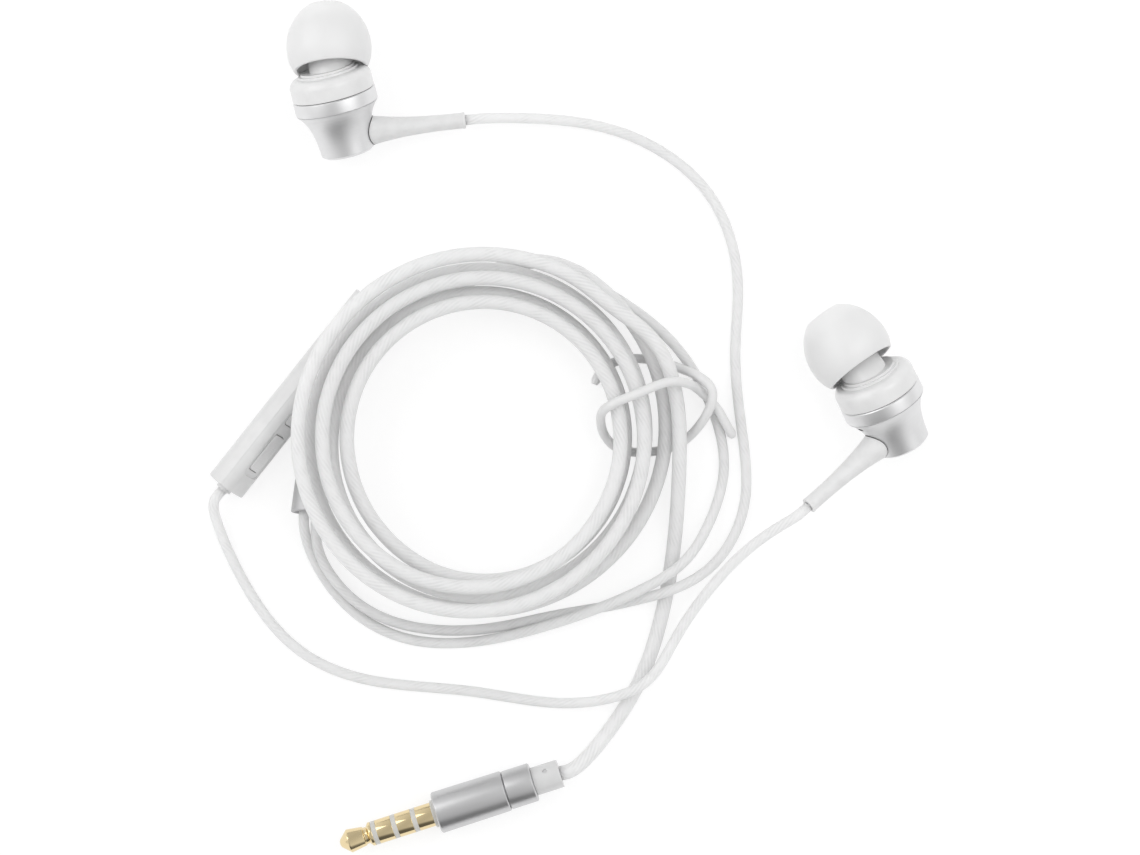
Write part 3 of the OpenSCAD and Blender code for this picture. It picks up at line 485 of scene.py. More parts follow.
def tie_coating():
    finish = Finish("tie_coating")
    patches = finish.cloud(1.6)
    return finish.settle(
        Base_Color=finish.blend(patches, grey(0.84), grey(0.76)),
        Roughness=patches * 0.1 + 0.32,
        Normal=finish.relief(patches, 0.03),
        **soft_light(0.2, 0.5))


tie_line, tie_length = smooth_line(tie_route)
from_end = np.minimum(np.arange(len(tie_line)), np.arange(len(tie_line))[::-1]) * CORD_STEP
end_round = np.clip(from_end / (TIE_D / 2) + 0.25, 0, 1)
tie = tube("cord_tie_run", tie_line, TIE_D / 2 * np.sqrt(1 - (1 - end_round) ** 2), 16)
fitted(tie, tie_coating(), "cord_tie")


# ---- earbud shells
# A bell of satin silver aluminium, spun thin, closes the back of each earbud. A polished band with bevelled
# edges holds it to a white plastic front cap, whose stepped face carries the nozzle on a leaning neck.
BAND_W = 2.0
BAND_WALL = 0.6
BAND_BEVEL = 0.15
CAP_R = BAND_R - 0.06
CAP_H = 3.2
CAP_Z = BAND_W + CAP_H
CAP_ROUND = 1.4
CAP_SEAM = 0.08
SPIGOT_R = 5.35
SPIGOT_BORE_R = 4.75
SPIGOT_Z = 1.16
CHAMBER_R = 4.34
SHELL_WALL = 0.7
STEPS = [(4.39, 0.3), (3.94, 0.6)]
ARC_STEPS = 4
FLARE_STEPS = 24
METAL_CREASE = 25
NOZZLE_R = 2.45
NOZZLE_BORE_R = 1.8
NOZZLE_LEN = 7.2
NOZZLE_LEAN = 28.5
NOZZLE_OFFSET = 0.45
NOZZLE_OFFSET_TURN = 72
NECK_R = NOZZLE_R + 0.7
NECK_H = 1.85
NECK_ROOT = 2.2
LIP_R = NOZZLE_R + 0.3
LIP_H = 0.8
SCREEN_SEAT_R = NOZZLE_BORE_R + 0.22
SCREEN_T = 0.15
SILVER = (0.83, 0.83, 0.835, 1)
BRIGHT_SILVER = (0.84, 0.84, 0.845, 1)
DULL_SILVER = (0.64, 0.64, 0.645, 1)
BLACK = 0.012


def softened(outline, rounding):
    """An outline of radii and heights with its corners rounded, all but those on the axis."""
    soft = []
    for i, point in enumerate(outline):
        here, back, on = (Vector(outline[(i + step) % len(outline)]) for step in (0, -1, 1))
        to_back, to_on = back - here, on - here
        if here.x == 0 or min(to_back.length, to_on.length) < 1e-6:
            soft.append(tuple(here))
            continue
        corner = to_back.angle(to_on, math.pi) / 2
        cut = min(rounding / max(math.tan(corner), 0.05), 0.45 * to_back.length, 0.45 * to_on.length)
        if cut < 0.004:
            soft.append(tuple(here))
            continue
        first, last = here + cut * to_back.normalized(), here + cut * to_on.normalized()
        for k in range(ARC_STEPS + 1):
            t = k / ARC_STEPS
            soft.append(tuple((1 - t) ** 2 * first + 2 * t * (1 - t) * here + t * t * last))
    return soft


def ring(inner, outer, low, high):
    """The half outline of a straight tube, or of a rod where its inner radius is 0."""
    return [(inner, low), (outer, low), (outer, high), (inner, high)]


def turned(name, place, outline, rounding=0.0, steps=128, crease=CREASE):
    """A piece turned on a lathe: its half outline of radii and heights, with its corners rounded, spun about
    its place's own axis."""
    if rounding:
        outline = softened(outline, rounding)
    skin = bmesh.new()
    points = [skin.verts.new((r, 0, z)) for r, z in outline]
    pairs = list(zip(points, points[1:] + points[:1]))
    if outline[0][0] == 0 and outline[-1][0] == 0:
        pairs.pop()
    edges = [skin.edges.new(pair) for pair in pairs]
    bmesh.ops.spin(skin, geom=points + edges, cent=(0, 0, 0), axis=(0, 0, 1), angle=2 * math.pi, steps=steps,
                   use_merge=True)
    bmesh.ops.remove_doubles(skin, verts=skin.verts, dist=1e-5)
    bmesh.ops.dissolve_degenerate(skin, edges=skin.edges, dist=1e-5)
    bmesh.ops.recalc_face_normals(skin, faces=skin.faces)
    bmesh.ops.transform(skin, matrix=place, verts=skin.verts)
    return finished(name, skin, crease)


def carved(piece, operation, *others):
    """The piece after a union with others or with them cut out of it. The others are used up."""
    for other in others:
        cut = piece.modifiers.new(operation.lower(), "BOOLEAN")
        cut.operation, cut.object, cut.solver = operation, other, "EXACT"
    bpy.context.view_layer.update()
    drawn = piece.evaluated_get(bpy.context.evaluated_depsgraph_get())
    whole = bpy.data.meshes.new_from_object(drawn)
    piece.modifiers.clear()
    old, piece.data = piece.data, whole
    bpy.data.meshes.remove(old)
    for other in others:
        bpy.data.objects.remove(other)
    piece.data.shade_smooth()
    piece.data.set_sharp_from_angle(angle=math.radians(CREASE))
    return piece


def on_nozzle(bud):
    """The place of a nozzle: it leans out of the cap's face, a little off its middle."""
    foot = round_point(NOZZLE_OFFSET, bud["side"] * (bud["nozzle"] - NOZZLE_OFFSET_TURN))
    return moved(bud["place"], *foot, CAP_Z, ("Z", bud["side"] * bud["nozzle"]), ("Y", NOZZLE_LEAN))


def bell_outline(grow, back=0.0):
    flare = [(bell_radius(i / FLARE_STEPS * bell_edge) + grow, -i / FLARE_STEPS * bell_edge)
             for i in range(FLARE_STEPS + 1)]
    return [(0, 0), *flare, (BELL_BACK_R + grow - BELL_BACK_ROUND, back - BELL_LEN), (0, back - BELL_LEN)]


def cap_outline(grow, base):
    """The cap's outside: a rounded shoulder and two shallow steps on its face."""
    arc = [round_point(CAP_ROUND + grow, degrees) for degrees in range(0, 91, 6)]
    shoulder = [(CAP_R - CAP_ROUND + x, CAP_Z - CAP_ROUND + y) for x, y in arc]
    face = []
    for i, (r, rise) in enumerate(STEPS):
        foot = CAP_Z + (STEPS[i - 1][1] if i else 0)
        face += [(r + grow, foot + grow), (r + grow, CAP_Z + rise + grow)]
    return [(CAP_R + grow, base), *shoulder, *face, (0, CAP_Z + STEPS[-1][1] + grow)]


def turned_metal(name, place, color, roughness, ring_depth):
    """Metal with the fine rings that a lathe leaves, soft cloudy polish and faint handling marks."""
    finish = Finish(name)
    x, y, z = finish.axes(finish.spot(place))
    radius = (x * x + y * y) ** 0.5
    rings = finish.cloud(0.09, 3, finish.add("ShaderNodeCombineXYZ", {}, {"X": radius, "Y": z}))
    patches = finish.cloud(1.8, 3)
    return finish.settle(
        Base_Color=finish.blend(patches * 0.5 + rings * 0.3, color, darker(color, 0.88)),
        Metallic=1.0,
        Roughness=patches * 0.1 + rings * 0.06 + roughness,
        Normal=finish.relief(rings, ring_depth))


def moulded_plastic(name, level, roughness, tint=(1, 1, 1)):
    """Glossy white plastic: nearly even, with the faint waviness and dull patches of a moulded skin."""
    finish = Finish(name)
    waves = finish.cloud(2.4)
    grain = finish.cloud(0.12)
    near, far = darker(tint, level), darker(tint, 0.95 * level)
    return finish.settle(
        Base_Color=finish.blend(waves.above(0.3, 0.75), near, far),
        Roughness=waves * 0.1 + grain * 0.06 + roughness,
        Coat_Weight=0.35, Coat_Roughness=0.08,
        Normal=finish.relief(waves * 0.8 + grain * 0.2, 0.02),
        **soft_light(0.15, 0.6))


def dull_black(name):
    """Black rubber in a seam or a vent, dusty in places. Also the painted shade in the gap under each boot."""
    finish = Finish(name)
    dust = finish.cloud(0.4, 3)
    return finish.settle(
        Base_Color=finish.blend(dust.above(0.55, 0.85), grey(BLACK), grey(4 * BLACK)),
        Roughness=dust * 0.25 + 0.5,
        Normal=finish.relief(dust, 0.02))


cap_plastic = moulded_plastic("cap_plastic", 0.82, 0.22)
seam_black_and_gap_shade = dull_black("seam_black_and_gap_shade")
for bud in (LEFT, RIGHT):
    side, place, nozzle = bud["name"], bud["place"], on_nozzle(bud)
    coat(turned_metal(side + "_bell_aluminium", place, SILVER, 0.40, 0.005), side + "_bell")

    band = turned(side + "_band_ring", place, [
        (BAND_R - BAND_WALL, 0), (BAND_R - BAND_BEVEL, 0), (BAND_R, BAND_BEVEL),
        (BAND_R, BAND_W - BAND_BEVEL), (BAND_R - BAND_BEVEL, BAND_W), (BAND_R - BAND_WALL, BAND_W)
    ], 0.03, crease=METAL_CREASE)
    fitted(band, turned_metal(side + "_band_polish", place, BRIGHT_SILVER, 0.34, 0.003), side + "_band")

    cap = turned(side + "_front_cap_shell", place, [
        (SPIGOT_BORE_R, SPIGOT_Z), (SPIGOT_R, SPIGOT_Z), (SPIGOT_R, BAND_W + CAP_SEAM),
        *cap_outline(0, BAND_W + CAP_SEAM),
        (0, CAP_Z - SHELL_WALL), (CHAMBER_R, CAP_Z - SHELL_WALL), (CHAMBER_R, BAND_W),
        (SPIGOT_BORE_R, BAND_W)], 0.07)
    neck = turned("neck", nozzle, [
        (0, -NECK_ROOT), (NECK_R, -NECK_ROOT), (NECK_R, NECK_H), (NOZZLE_R, NECK_H),
        (NOZZLE_R, NOZZLE_LEN - LIP_H), (LIP_R, NOZZLE_LEN - LIP_H / 2), (LIP_R, NOZZLE_LEN),
        (0, NOZZLE_LEN)], 0.12)
    bore = turned("bore", nozzle, [
        (0, -CAP_H), (NOZZLE_BORE_R, -CAP_H), (NOZZLE_BORE_R, NOZZLE_LEN - SCREEN_T),
        (SCREEN_SEAT_R, NOZZLE_LEN - SCREEN_T), (SCREEN_SEAT_R, NOZZLE_LEN + 1), (0, NOZZLE_LEN + 1)])
    carved(cap, "UNION", neck)
    carved(cap, "DIFFERENCE", bore)
    fitted(cap, cap_plastic, side + "_front_cap")

    gasket = turned(side + "_cap_seal", place, ring(
        SPIGOT_R + 0.04, CAP_R - 0.12, BAND_W + 0.01, BAND_W + CAP_SEAM - 0.01), 0.02)
    fitted(gasket, seam_black_and_gap_shade)
    coat(seam_black_and_gap_shade, side + "_vent_mesh")

# ---- ear tips
# Each is one moulding of translucent white silicone: a mushroom dome over a stem that grips the nozzle's
# lip. Its skirt hangs free, and is cut back where it meets the cap. It pulls off along the nozzle.
TIP_R = 6.05
TIP_LEN = 9.3
TIP_WALL = 0.45
TIP_WIDE_Z = 0.32 * TIP_LEN
TIP_BORE_R = LIP_R + 0.05
TIP_STEM_R = TIP_BORE_R + TIP_WALL
TIP_MOUTH_R = NOZZLE_BORE_R + 0.2
TIP_MOUTH_Z = NOZZLE_LEN - LEFT["tip"] + 0.15
TIP_OVERHANG = 2.0
TIP_GAP = 0.08


def tip_radius(z):
    """Outer radius of the dome at a height over its open edge."""
    if z < TIP_WIDE_Z:
        return TIP_R * math.sqrt(1 - ((TIP_WIDE_Z - z) / (2 * TIP_WIDE_Z)) ** 2)
    return TIP_R * math.sqrt(1 - 0.79 * ((z - TIP_WIDE_Z) / (TIP_LEN - TIP_WIDE_Z)) ** 2)


def silicone(name, place):
    """Soft translucent rubber with a satin skin, cloudy inside, and a little darker and rougher towards its
    open edge.
    """
    finish = Finish(name)
    _, _, height = finish.axes(finish.spot(place))
    clouds = finish.cloud(3.0)
    grain = finish.cloud(0.2)
    hem = 1 - height.above(0.0, 2.5 * MM)
    return finish.settle(
        Base_Color=finish.blend(clouds * 0.6 + hem * 0.4, grey(0.88), grey(0.83)),
        Roughness=grain * 0.12 + hem * 0.08 + 0.3,
        Normal=finish.relief(clouds * 0.7 + grain * 0.3, 0.02),
        **soft_light(0.5, 1.2))


for bud in (LEFT, RIGHT):
    side = bud["name"]
    seat = moved(on_nozzle(bud), 0, 0, bud["tip"])
    top = TIP_MOUTH_Z - TIP_WALL
    outside = [(tip_radius(i / 32 * TIP_LEN), i / 32 * TIP_LEN) for i in range(33)]
    inside = [(tip_radius(i / 24 * top) - TIP_WALL, i / 24 * top) for i in range(24, -1, -1)]
    mouth = [(TIP_MOUTH_R, TIP_LEN), (TIP_MOUTH_R, TIP_MOUTH_Z), (TIP_BORE_R, TIP_MOUTH_Z),
             (TIP_BORE_R, TIP_OVERHANG), (TIP_STEM_R, TIP_OVERHANG), (TIP_STEM_R, top)]
    tip = turned(side + "_tip_dome", seat, [*outside, *mouth, *inside], 0.16)
    carved(tip, "DIFFERENCE", turned("cap_room", bud["place"], [(0, BAND_W), *cap_outline(TIP_GAP, BAND_W)]))
    fitted(tip, silicone(side + "_silicone", seat), side + "_ear_tip", body=side + "_ear_tip_body")

# ---- strain relief boots
# A white rubber boot is moulded round each cord and plugged into the side of the bell. It sits on the bell
# like a saddle and narrows in a long flare to a small rim at the cord. A thin black shell in the gap between
# boot and bell is painted shade, standing in for the shadow in that gap.
BOOT_BASE_R = 2.15
BOOT_END_R = 1.13
BOOT_FOOT = 3.0
BOOT_FLARE_START = BELL_BACK_R + 0.2
BOOT_RIM = 0.05
BOOT_RIM_L = 0.4
BOOT_SEAM = 0.11


def boot_radius(share):
    """Radius of a boot at a share of its length from the bell to its cord end."""
    return BOOT_END_R + (BOOT_BASE_R - BOOT_END_R) * (1 - share) ** 2.8


def soft_rubber(name, level):
    """Matt white rubber, faintly mottled, with a fine eggshell skin."""
    finish = Finish(name)
    clouds = finish.cloud(1.5, 3)
    grain = finish.cloud(0.15)
    return finish.settle(
        Base_Color=finish.blend(clouds.above(0.3, 0.8), grey(level), grey(0.93 * level)),
        Roughness=clouds * 0.12 + 0.4,
        Sheen_Weight=0.1,
        Normal=finish.relief(clouds * 0.5 + grain * 0.5, 0.02),
        **soft_light(0.3, 0.8))


boot_rubber = soft_rubber("boot_rubber", 0.80)
for bud in (LEFT, RIGHT):
    side, place = bud["name"], bud["place"]
    run = place @ along_boot
    rim_foot = BOOT_REACH - BOOT_RIM_L
    flare_l = BOOT_REACH - BOOT_FLARE_START
    flare = [(boot_radius(i / FLARE_STEPS), BOOT_FLARE_START + i / FLARE_STEPS * flare_l)
             for i in range(FLARE_STEPS + 1)]
    flare = [(r, z) for r, z in flare if z < rim_foot]
    boot = turned(side + "_boot_sleeve", run, [
        (0, BOOT_FOOT), (BOOT_BASE_R, BOOT_FOOT), *flare, (BOOT_END_R, rim_foot),
        (BOOT_END_R + BOOT_RIM, rim_foot), (BOOT_END_R + BOOT_RIM, BOOT_REACH), (0, BOOT_REACH)], 0.05)
    carved(boot, "DIFFERENCE", turned("bell_room", place, bell_outline(BOOT_SEAM, -BOOT_SEAM)))
    fitted(boot, boot_rubber, side + "_boot")

    # The black shell in the gap between boot and bell is painted shade, standing in for the shadow there.
    gap_shade = turned(side + "_boot_gap_shade", run, ring(0, BOOT_BASE_R - 0.04, BOOT_FOOT, BOOT_REACH / 2))
    carved(gap_shade, "INTERSECT", turned("bell_skin", place, bell_outline(BOOT_SEAM - 0.03, 0.03 - BOOT_SEAM)))
    carved(gap_shade, "DIFFERENCE", turned("bell_room", place, bell_outline(0.03, -0.03)))
    fitted(gap_shade, seam_black_and_gap_shade)

# ---- inside the earbuds
# A woven steel screen and a plug of open foam damp the nozzle. Behind them a dome membrane carries a copper
# voice coil round a magnet and its pole plate, in a pressed cup with a small terminal board and two thin
# leads.
FOAM_H = 1.2
FOAM_GAP = 0.03
WIRE_R = 0.18
WIRE_GAP = 0.7
WIRE_HEAD = 2.9
BOARD_R = 2.65
BOARD_Z = -1.87


def woven_steel(name, place):
    """Two sets of fine wires that cross, bright on top, with painted shade in the holes between them."""
    finish = Finish(name)
    x, y, _ = finish.axes(finish.spot(place))
    pitch = 2 * math.pi / (0.16 * MM)
    warp, weft = (x * pitch).sine() * 0.5 + 0.5, (y * pitch).sine() * 0.5 + 0.5
    cover = warp.math("MAXIMUM", warp, weft)
    grime = finish.cloud(0.6, 3)
    return finish.settle(
        Base_Color=finish.blend(cover.above(0.3, 0.8), (0.02, 0.02, 0.022, 1), (0.45, 0.45, 0.46, 1)),
        Metallic=cover.above(0.3, 0.8) * 0.9,
        Roughness=grime * 0.2 + 0.3,
        Normal=finish.relief(cover, 0.05))


def open_foam(name, color):
    """Foam with round open cells, darker inside them."""
    finish = Finish(name)
    cells = finish.add("ShaderNodeTexVoronoi", {}, {"Vector": finish.spot(), "Scale": 1 / (0.16 * MM)})
    shade = cells.above(0.15, 0.5)
    return finish.settle(
        Base_Color=finish.blend(shade, darker(color, 0.35), color),
        Roughness=shade * 0.1 + 0.8,
        Normal=finish.relief(shade, 0.08))


def rolled_metal(name, color, roughness):
    """Plain pressed or sintered metal, cloudy, with fine grain."""
    finish = Finish(name)
    clouds, grain = finish.cloud(1.2, 3), finish.cloud(0.08)
    return finish.settle(
        Base_Color=finish.blend(clouds * 0.6 + grain * 0.4, color, darker(color, 0.8)),
        Metallic=1.0,
        Roughness=clouds * 0.12 + grain * 0.08 + roughness,
        Normal=finish.relief(grain, 0.01))


def wound_copper(name, place):
    """Enamelled copper wire wound in close layers."""
    finish = Finish(name)
    _, _, z = finish.axes(finish.spot(place))
    turns = (z * (2 * math.pi / (0.07 * MM))).sine() * 0.5 + 0.5
    patches = finish.cloud(0.8)
    return finish.settle(
        Base_Color=finish.blend(turns * 0.7 + patches * 0.3, (0.30, 0.09, 0.03, 1), (0.72, 0.32, 0.14, 1)),
        Metallic=0.9,
        Roughness=patches * 0.1 + 0.3,
        Normal=finish.relief(turns, 0.03))


def circuit_board(name, color):
    """Coloured solder mask over a fine weave, with paler pads and tracks under it."""
    finish = Finish(name)
    x, y, _ = finish.axes(finish.spot())
    weave = (x * (2 * math.pi / (0.3 * MM))).sine() * (y * (2 * math.pi / (0.3 * MM))).sine()
    tracks = finish.cloud(1.1, 0).above(0.52, 0.56)
    lighter = tuple(min(1, 1.9 * c + 0.02) for c in color[:3]) + (1,)
    return finish.settle(
        Base_Color=finish.blend(tracks, color, lighter),
        Roughness=finish.cloud(0.5) * 0.1 + 0.28,
        Normal=finish.relief(weave * 0.3 + tracks, 0.02))


def clear_film(name):
    """Thin amber polymer film, a little uneven from its pressing."""
    finish = Finish(name)
    clouds = finish.cloud(0.9, 3)
    return finish.settle(
        Base_Color=finish.blend(clouds, (0.86, 0.80, 0.62, 1), (0.74, 0.66, 0.46, 1)),
        Roughness=clouds * 0.15 + 0.15,
        Transmission_Weight=0.5,
        Normal=finish.relief(clouds, 0.02))


def wire_sheath(name, color):
    finish = Finish(name)
    clouds = finish.cloud(0.5, 3)
    return finish.settle(
        Base_Color=finish.blend(clouds, color, darker(color, 0.75)),
        Roughness=clouds * 0.15 + 0.35,
        Normal=finish.relief(clouds, 0.01))


foam_cells = open_foam("nozzle_foam_cells", grey(0.62))
cup_steel = rolled_metal("cup_steel", (0.62, 0.60, 0.55, 1), 0.3)
magnet_nickel = rolled_metal("magnet_nickel", (0.50, 0.49, 0.47, 1), 0.35)
pole_steel = rolled_metal("pole_steel", (0.58, 0.58, 0.60, 1), 0.25)
board_green = circuit_board("board_green", (0.015, 0.10, 0.04, 1))
membrane_film = clear_film("membrane_film")
lead_sheaths = [
    wire_sheath("red_sheath", (0.55, 0.04, 0.03, 1)), wire_sheath("green_sheath", (0.04, 0.30, 0.10, 1))]
for bud in (LEFT, RIGHT):
    side, place, nozzle = bud["name"], bud["place"], on_nozzle(bud)
    coat(woven_steel(side + "_screen_weave", nozzle), side + "_nozzle_screen")
    coat(membrane_film, side + "_diaphragm")
    coat(wound_copper(side + "_coil_windings", place), side + "_voice_coil")
    coat(pole_steel, side + "_pole_plate")
    coat(magnet_nickel, side + "_magnet")
    coat(cup_steel, side + "_driver_frame")
    coat(board_green, side + "_driver_board")

    foam_top = NOZZLE_LEN - SCREEN_T - FOAM_GAP
    foam = turned(side + "_foam_plug", nozzle, ring(
        0, NOZZLE_BORE_R - 0.03, foam_top - FOAM_H, foam_top), 0.15, steps=48)
    fitted(foam, foam_cells, side + "_nozzle_foam")

    run = place @ along_boot
    for i, sheath in enumerate(lead_sheaths):
        aside = -WIRE_GAP * (1 - i)
        head = run @ Vector((0, 0, WIRE_HEAD)) / MM + place.to_3x3() @ Vector((0, aside, 0)) / MM
        foot = place @ Vector((0.3 * BOARD_R, aside, BOARD_Z - WIRE_R)) / MM
        sag = (head + foot) / 2 + place.to_3x3().normalized() @ Vector((0, 0, -0.06))
        wire_line, _ = smooth_line([head, sag, foot], step=0.15)
        lead = tube(f"{side}_lead_{i + 1}", wire_line, np.full(len(wire_line), WIRE_R - 0.01), 12)
        fitted(lead, sheath, side + "_lead_wires")

# ---- remote
# Two glossy white plastic shells meet at a seam high on the sides. Three flush buttons stand in one shallow
# recess in the cover, with an even gap round each, and a rubber gland holds the cord at each end.
REMOTE_WALL = 0.8
REMOTE_END_WALL = 1.2
REMOTE_END_ROUND = 0.22
REMOTE_SEAM = 1.1
REMOTE_SEAM_GAP = 0.02
REMOTE_FLOOR = -REMOTE_T / 2 + REMOTE_WALL
BUTTON_L = 6.2
CENTRE_BUTTON_L = 9.0
BUTTON_W = 2.4
BUTTON_STEP = 9.6
BUTTON_GAP = 0.12
BUTTON_ROUND = 0.5
BUTTON_EDGE = 0.12
BUTTON_TOP = 2.23
FLANGE_TOP = 1.4
FLANGE_T = 0.35
PLUNGER_R = 0.6
PLUNGER_Z = 0.33
RECESS_DEPTH = 0.2
RECESS_MARGIN = 0.55
FIT = 0.02
GLAND_R = 1.15
GLAND_FLANGE_R = GLAND_R + 0.25
GLAND_FLANGE_T = 0.5
POST_X = REMOTE_L / 2 - 6
POST_Y = 1.2
POST_R = 0.5
POST_H = 0.45
MIC_X = -13.6
MIC_PORT_R = 0.35
MIC_SEAT_R = 1.05
MIC_SEAT_Z = REMOTE_FLOOR - 0.3


def rounded_outline(width, height, rounding, steps=8):
    """Points round a rectangle with round corners."""
    points = []
    for quarter, (x, y) in enumerate(((1, 1), (-1, 1), (-1, -1), (1, -1))):
        for i in range(steps + 1):
            across, up = round_point(rounding, 90 * (quarter + i / steps))
            points.append((x * (width / 2 - rounding) + across, y * (height / 2 - rounding) + up))
    return points


def prism(name, place, outline, low, high, low_edge=0.0, high_edge=0.0):
    """An outline pulled along its place's own height, with the edges of its two ends rounded."""
    skin = bmesh.new()
    foot = skin.faces.new([skin.verts.new((x, y, low)) for x, y in outline])
    pulled = bmesh.ops.extrude_face_region(skin, geom=[foot])["geom"]
    top = [v for v in pulled if isinstance(v, bmesh.types.BMVert)]
    bmesh.ops.translate(skin, verts=top, vec=(0, 0, high - low))
    bmesh.ops.recalc_face_normals(skin, faces=skin.faces)
    for level, edge in ((low, low_edge), (high, high_edge)):
        if edge:
            rim = [e for e in skin.edges if all(abs(v.co.z - level) < 1e-6 for v in e.verts)]
            bmesh.ops.bevel(skin, geom=rim, offset=edge, offset_type="OFFSET", affect="EDGES", segments=4,
                            profile=0.5, material=-1, clamp_overlap=True)
    bmesh.ops.transform(skin, matrix=place, verts=skin.verts)
    return finished(name, skin)


along_remote = remote_place @ Matrix(((0, 0, 1, 0), (1, 0, 0, 0), (0, 1, 0, 0), (0, 0, 0, 1)))
inner_end = REMOTE_L / 2 - REMOTE_END_WALL


def remote_hollow():
    inside = rounded_outline(
        REMOTE_W - 2 * REMOTE_WALL, REMOTE_T - 2 * REMOTE_WALL, REMOTE_ROUND - REMOTE_WALL)
    return prism("hollow", along_remote, inside, -inner_end, inner_end)


def gland_hole():
    return turned("gland_hole", along_remote, ring(0, GLAND_R + FIT, -REMOTE_L, REMOTE_L), steps=48)


def remote_block(low, high):
    """A block across the whole remote between two heights."""
    return prism("block", remote_place, rounded_outline(2 * REMOTE_L, 2 * REMOTE_W, 0.1, 1), low, high)


def remote_shell(name):
    return prism(name, along_remote, rounded_outline(REMOTE_W, REMOTE_T, REMOTE_ROUND, 12),
                 -REMOTE_L / 2, REMOTE_L / 2, REMOTE_END_ROUND, REMOTE_END_ROUND)


buttons = (
    ("lower", -BUTTON_STEP, BUTTON_L), ("centre", 0, CENTRE_BUTTON_L), ("upper", BUTTON_STEP, BUTTON_L))
remote_plastic = moulded_plastic("remote_plastic", 0.76, 0.26)
button_plastic = moulded_plastic("button_plastic", 0.80, 0.2)

cover = remote_shell("remote_cover_shell")
carved(cover, "INTERSECT", remote_block(REMOTE_SEAM, REMOTE_T))
openings = [prism("opening", moved(remote_place, x, 0, 0), rounded_outline(
    length + 2 * BUTTON_GAP, BUTTON_W + 2 * BUTTON_GAP, BUTTON_ROUND + BUTTON_GAP), 0, REMOTE_T)
    for _, x, length in buttons]
recess = prism("recess", remote_place, rounded_outline(
    2 * BUTTON_STEP + BUTTON_L + 4 * RECESS_MARGIN, BUTTON_W + 2 * RECESS_MARGIN + 2 * BUTTON_GAP,
    BUTTON_ROUND + RECESS_MARGIN), REMOTE_T / 2 - RECESS_DEPTH, REMOTE_T, low_edge=0.05)
for cutter in (remote_hollow(), gland_hole(), recess, *openings):
    carved(cover, "DIFFERENCE", cutter)
fitted(cover, remote_plastic, "remote_cover")

base = remote_shell("remote_base_shell")
carved(base, "INTERSECT", remote_block(-REMOTE_T, REMOTE_SEAM - REMOTE_SEAM_GAP))
carved(base, "DIFFERENCE", remote_hollow())
for x in (-1, 1):
    for y in (-1, 1):
        post = turned("post", moved(remote_place, x * POST_X, y * POST_Y, 0),
                      ring(0, POST_R, REMOTE_FLOOR - 0.2, REMOTE_FLOOR + POST_H), steps=24)
        carved(base, "UNION", post)
mic_seat = turned("mic_seat", moved(remote_place, MIC_X, 0, 0), [
    (0, -REMOTE_T), (MIC_PORT_R, -REMOTE_T), (MIC_PORT_R, MIC_SEAT_Z), (MIC_SEAT_R, MIC_SEAT_Z),
    (MIC_SEAT_R, 0), (0, 0)], steps=32)
carved(base, "DIFFERENCE", mic_seat)
carved(base, "DIFFERENCE", gland_hole())
fitted(base, remote_plastic, "remote_base")

for name, x, length in buttons:
    seat = moved(remote_place, x, 0, 0)
    button = prism(name + "_button_cap", seat, rounded_outline(length, BUTTON_W, BUTTON_ROUND),
                   FLANGE_TOP - 0.1, BUTTON_TOP, high_edge=BUTTON_EDGE)
    carved(button, "UNION",
           prism("flange", seat, rounded_outline(length + 1.0, BUTTON_W + 0.5, BUTTON_ROUND),
                 FLANGE_TOP - FLANGE_T, FLANGE_TOP),
           turned("plunger", seat, ring(0, PLUNGER_R, PLUNGER_Z, FLANGE_TOP - 0.2), steps=32))
    fitted(button, button_plastic, name + "_button", body=name + "_button_body")

gland_rubber = soft_rubber("gland_rubber", 0.74)
for name, turn in (("lower_gland", -90), ("upper_gland", 90)):
    gland = turned(name, moved(remote_place, 0, 0, 0, ("Y", turn)), [
        (0, inner_end - GLAND_FLANGE_T - FIT), (GLAND_FLANGE_R, inner_end - GLAND_FLANGE_T - FIT),
        (GLAND_FLANGE_R, inner_end - FIT), (GLAND_R, inner_end - FIT), (GLAND_R, gland_face),
        (0, gland_face)], 0.1, steps=64)
    fitted(gland, gland_rubber, "remote_glands")

coat(board_green, "remote_board")
coat(rolled_metal("switch_steel", (0.55, 0.55, 0.56, 1), 0.3), "remote_switches")
coat(rolled_metal("microphone_gold", (0.75, 0.56, 0.28, 1), 0.25), "microphone")

# ---- splitter
# A drawn aluminium tube widens from the main cord to the two branches. A white plug, set a little into its
# wide end, holds them.
SPLITTER_WALL = 0.5
SPLITTER_BORE_R = MAIN_D / 2 + 0.05
INSERT_L = 2.6
INSERT_Z = splitter_face - INSERT_L
SPLITTER_SILVER = (0.58, 0.58, 0.585, 1)


def splitter_radius(z):
    return SPLITTER_NARROW_R + (SPLITTER_WIDE_R - SPLITTER_NARROW_R) * z / SPLITTER_L


splitter = turned("splitter_sleeve", splitter_place, [
    (SPLITTER_BORE_R, 0), (SPLITTER_NARROW_R - 0.1, 0), (SPLITTER_NARROW_R, 0.1),
    (SPLITTER_WIDE_R - 0.05, SPLITTER_L - 0.15), (SPLITTER_WIDE_R - 0.2, SPLITTER_L),
    (SPLITTER_WIDE_R - SPLITTER_WALL, SPLITTER_L), (splitter_radius(INSERT_Z) - SPLITTER_WALL, INSERT_Z),
    (SPLITTER_BORE_R, INSERT_Z - 1)], 0.04, crease=METAL_CREASE)
fitted(splitter, turned_metal("splitter_aluminium", splitter_place, SPLITTER_SILVER, 0.5, 0.005),
       "splitter_tube")

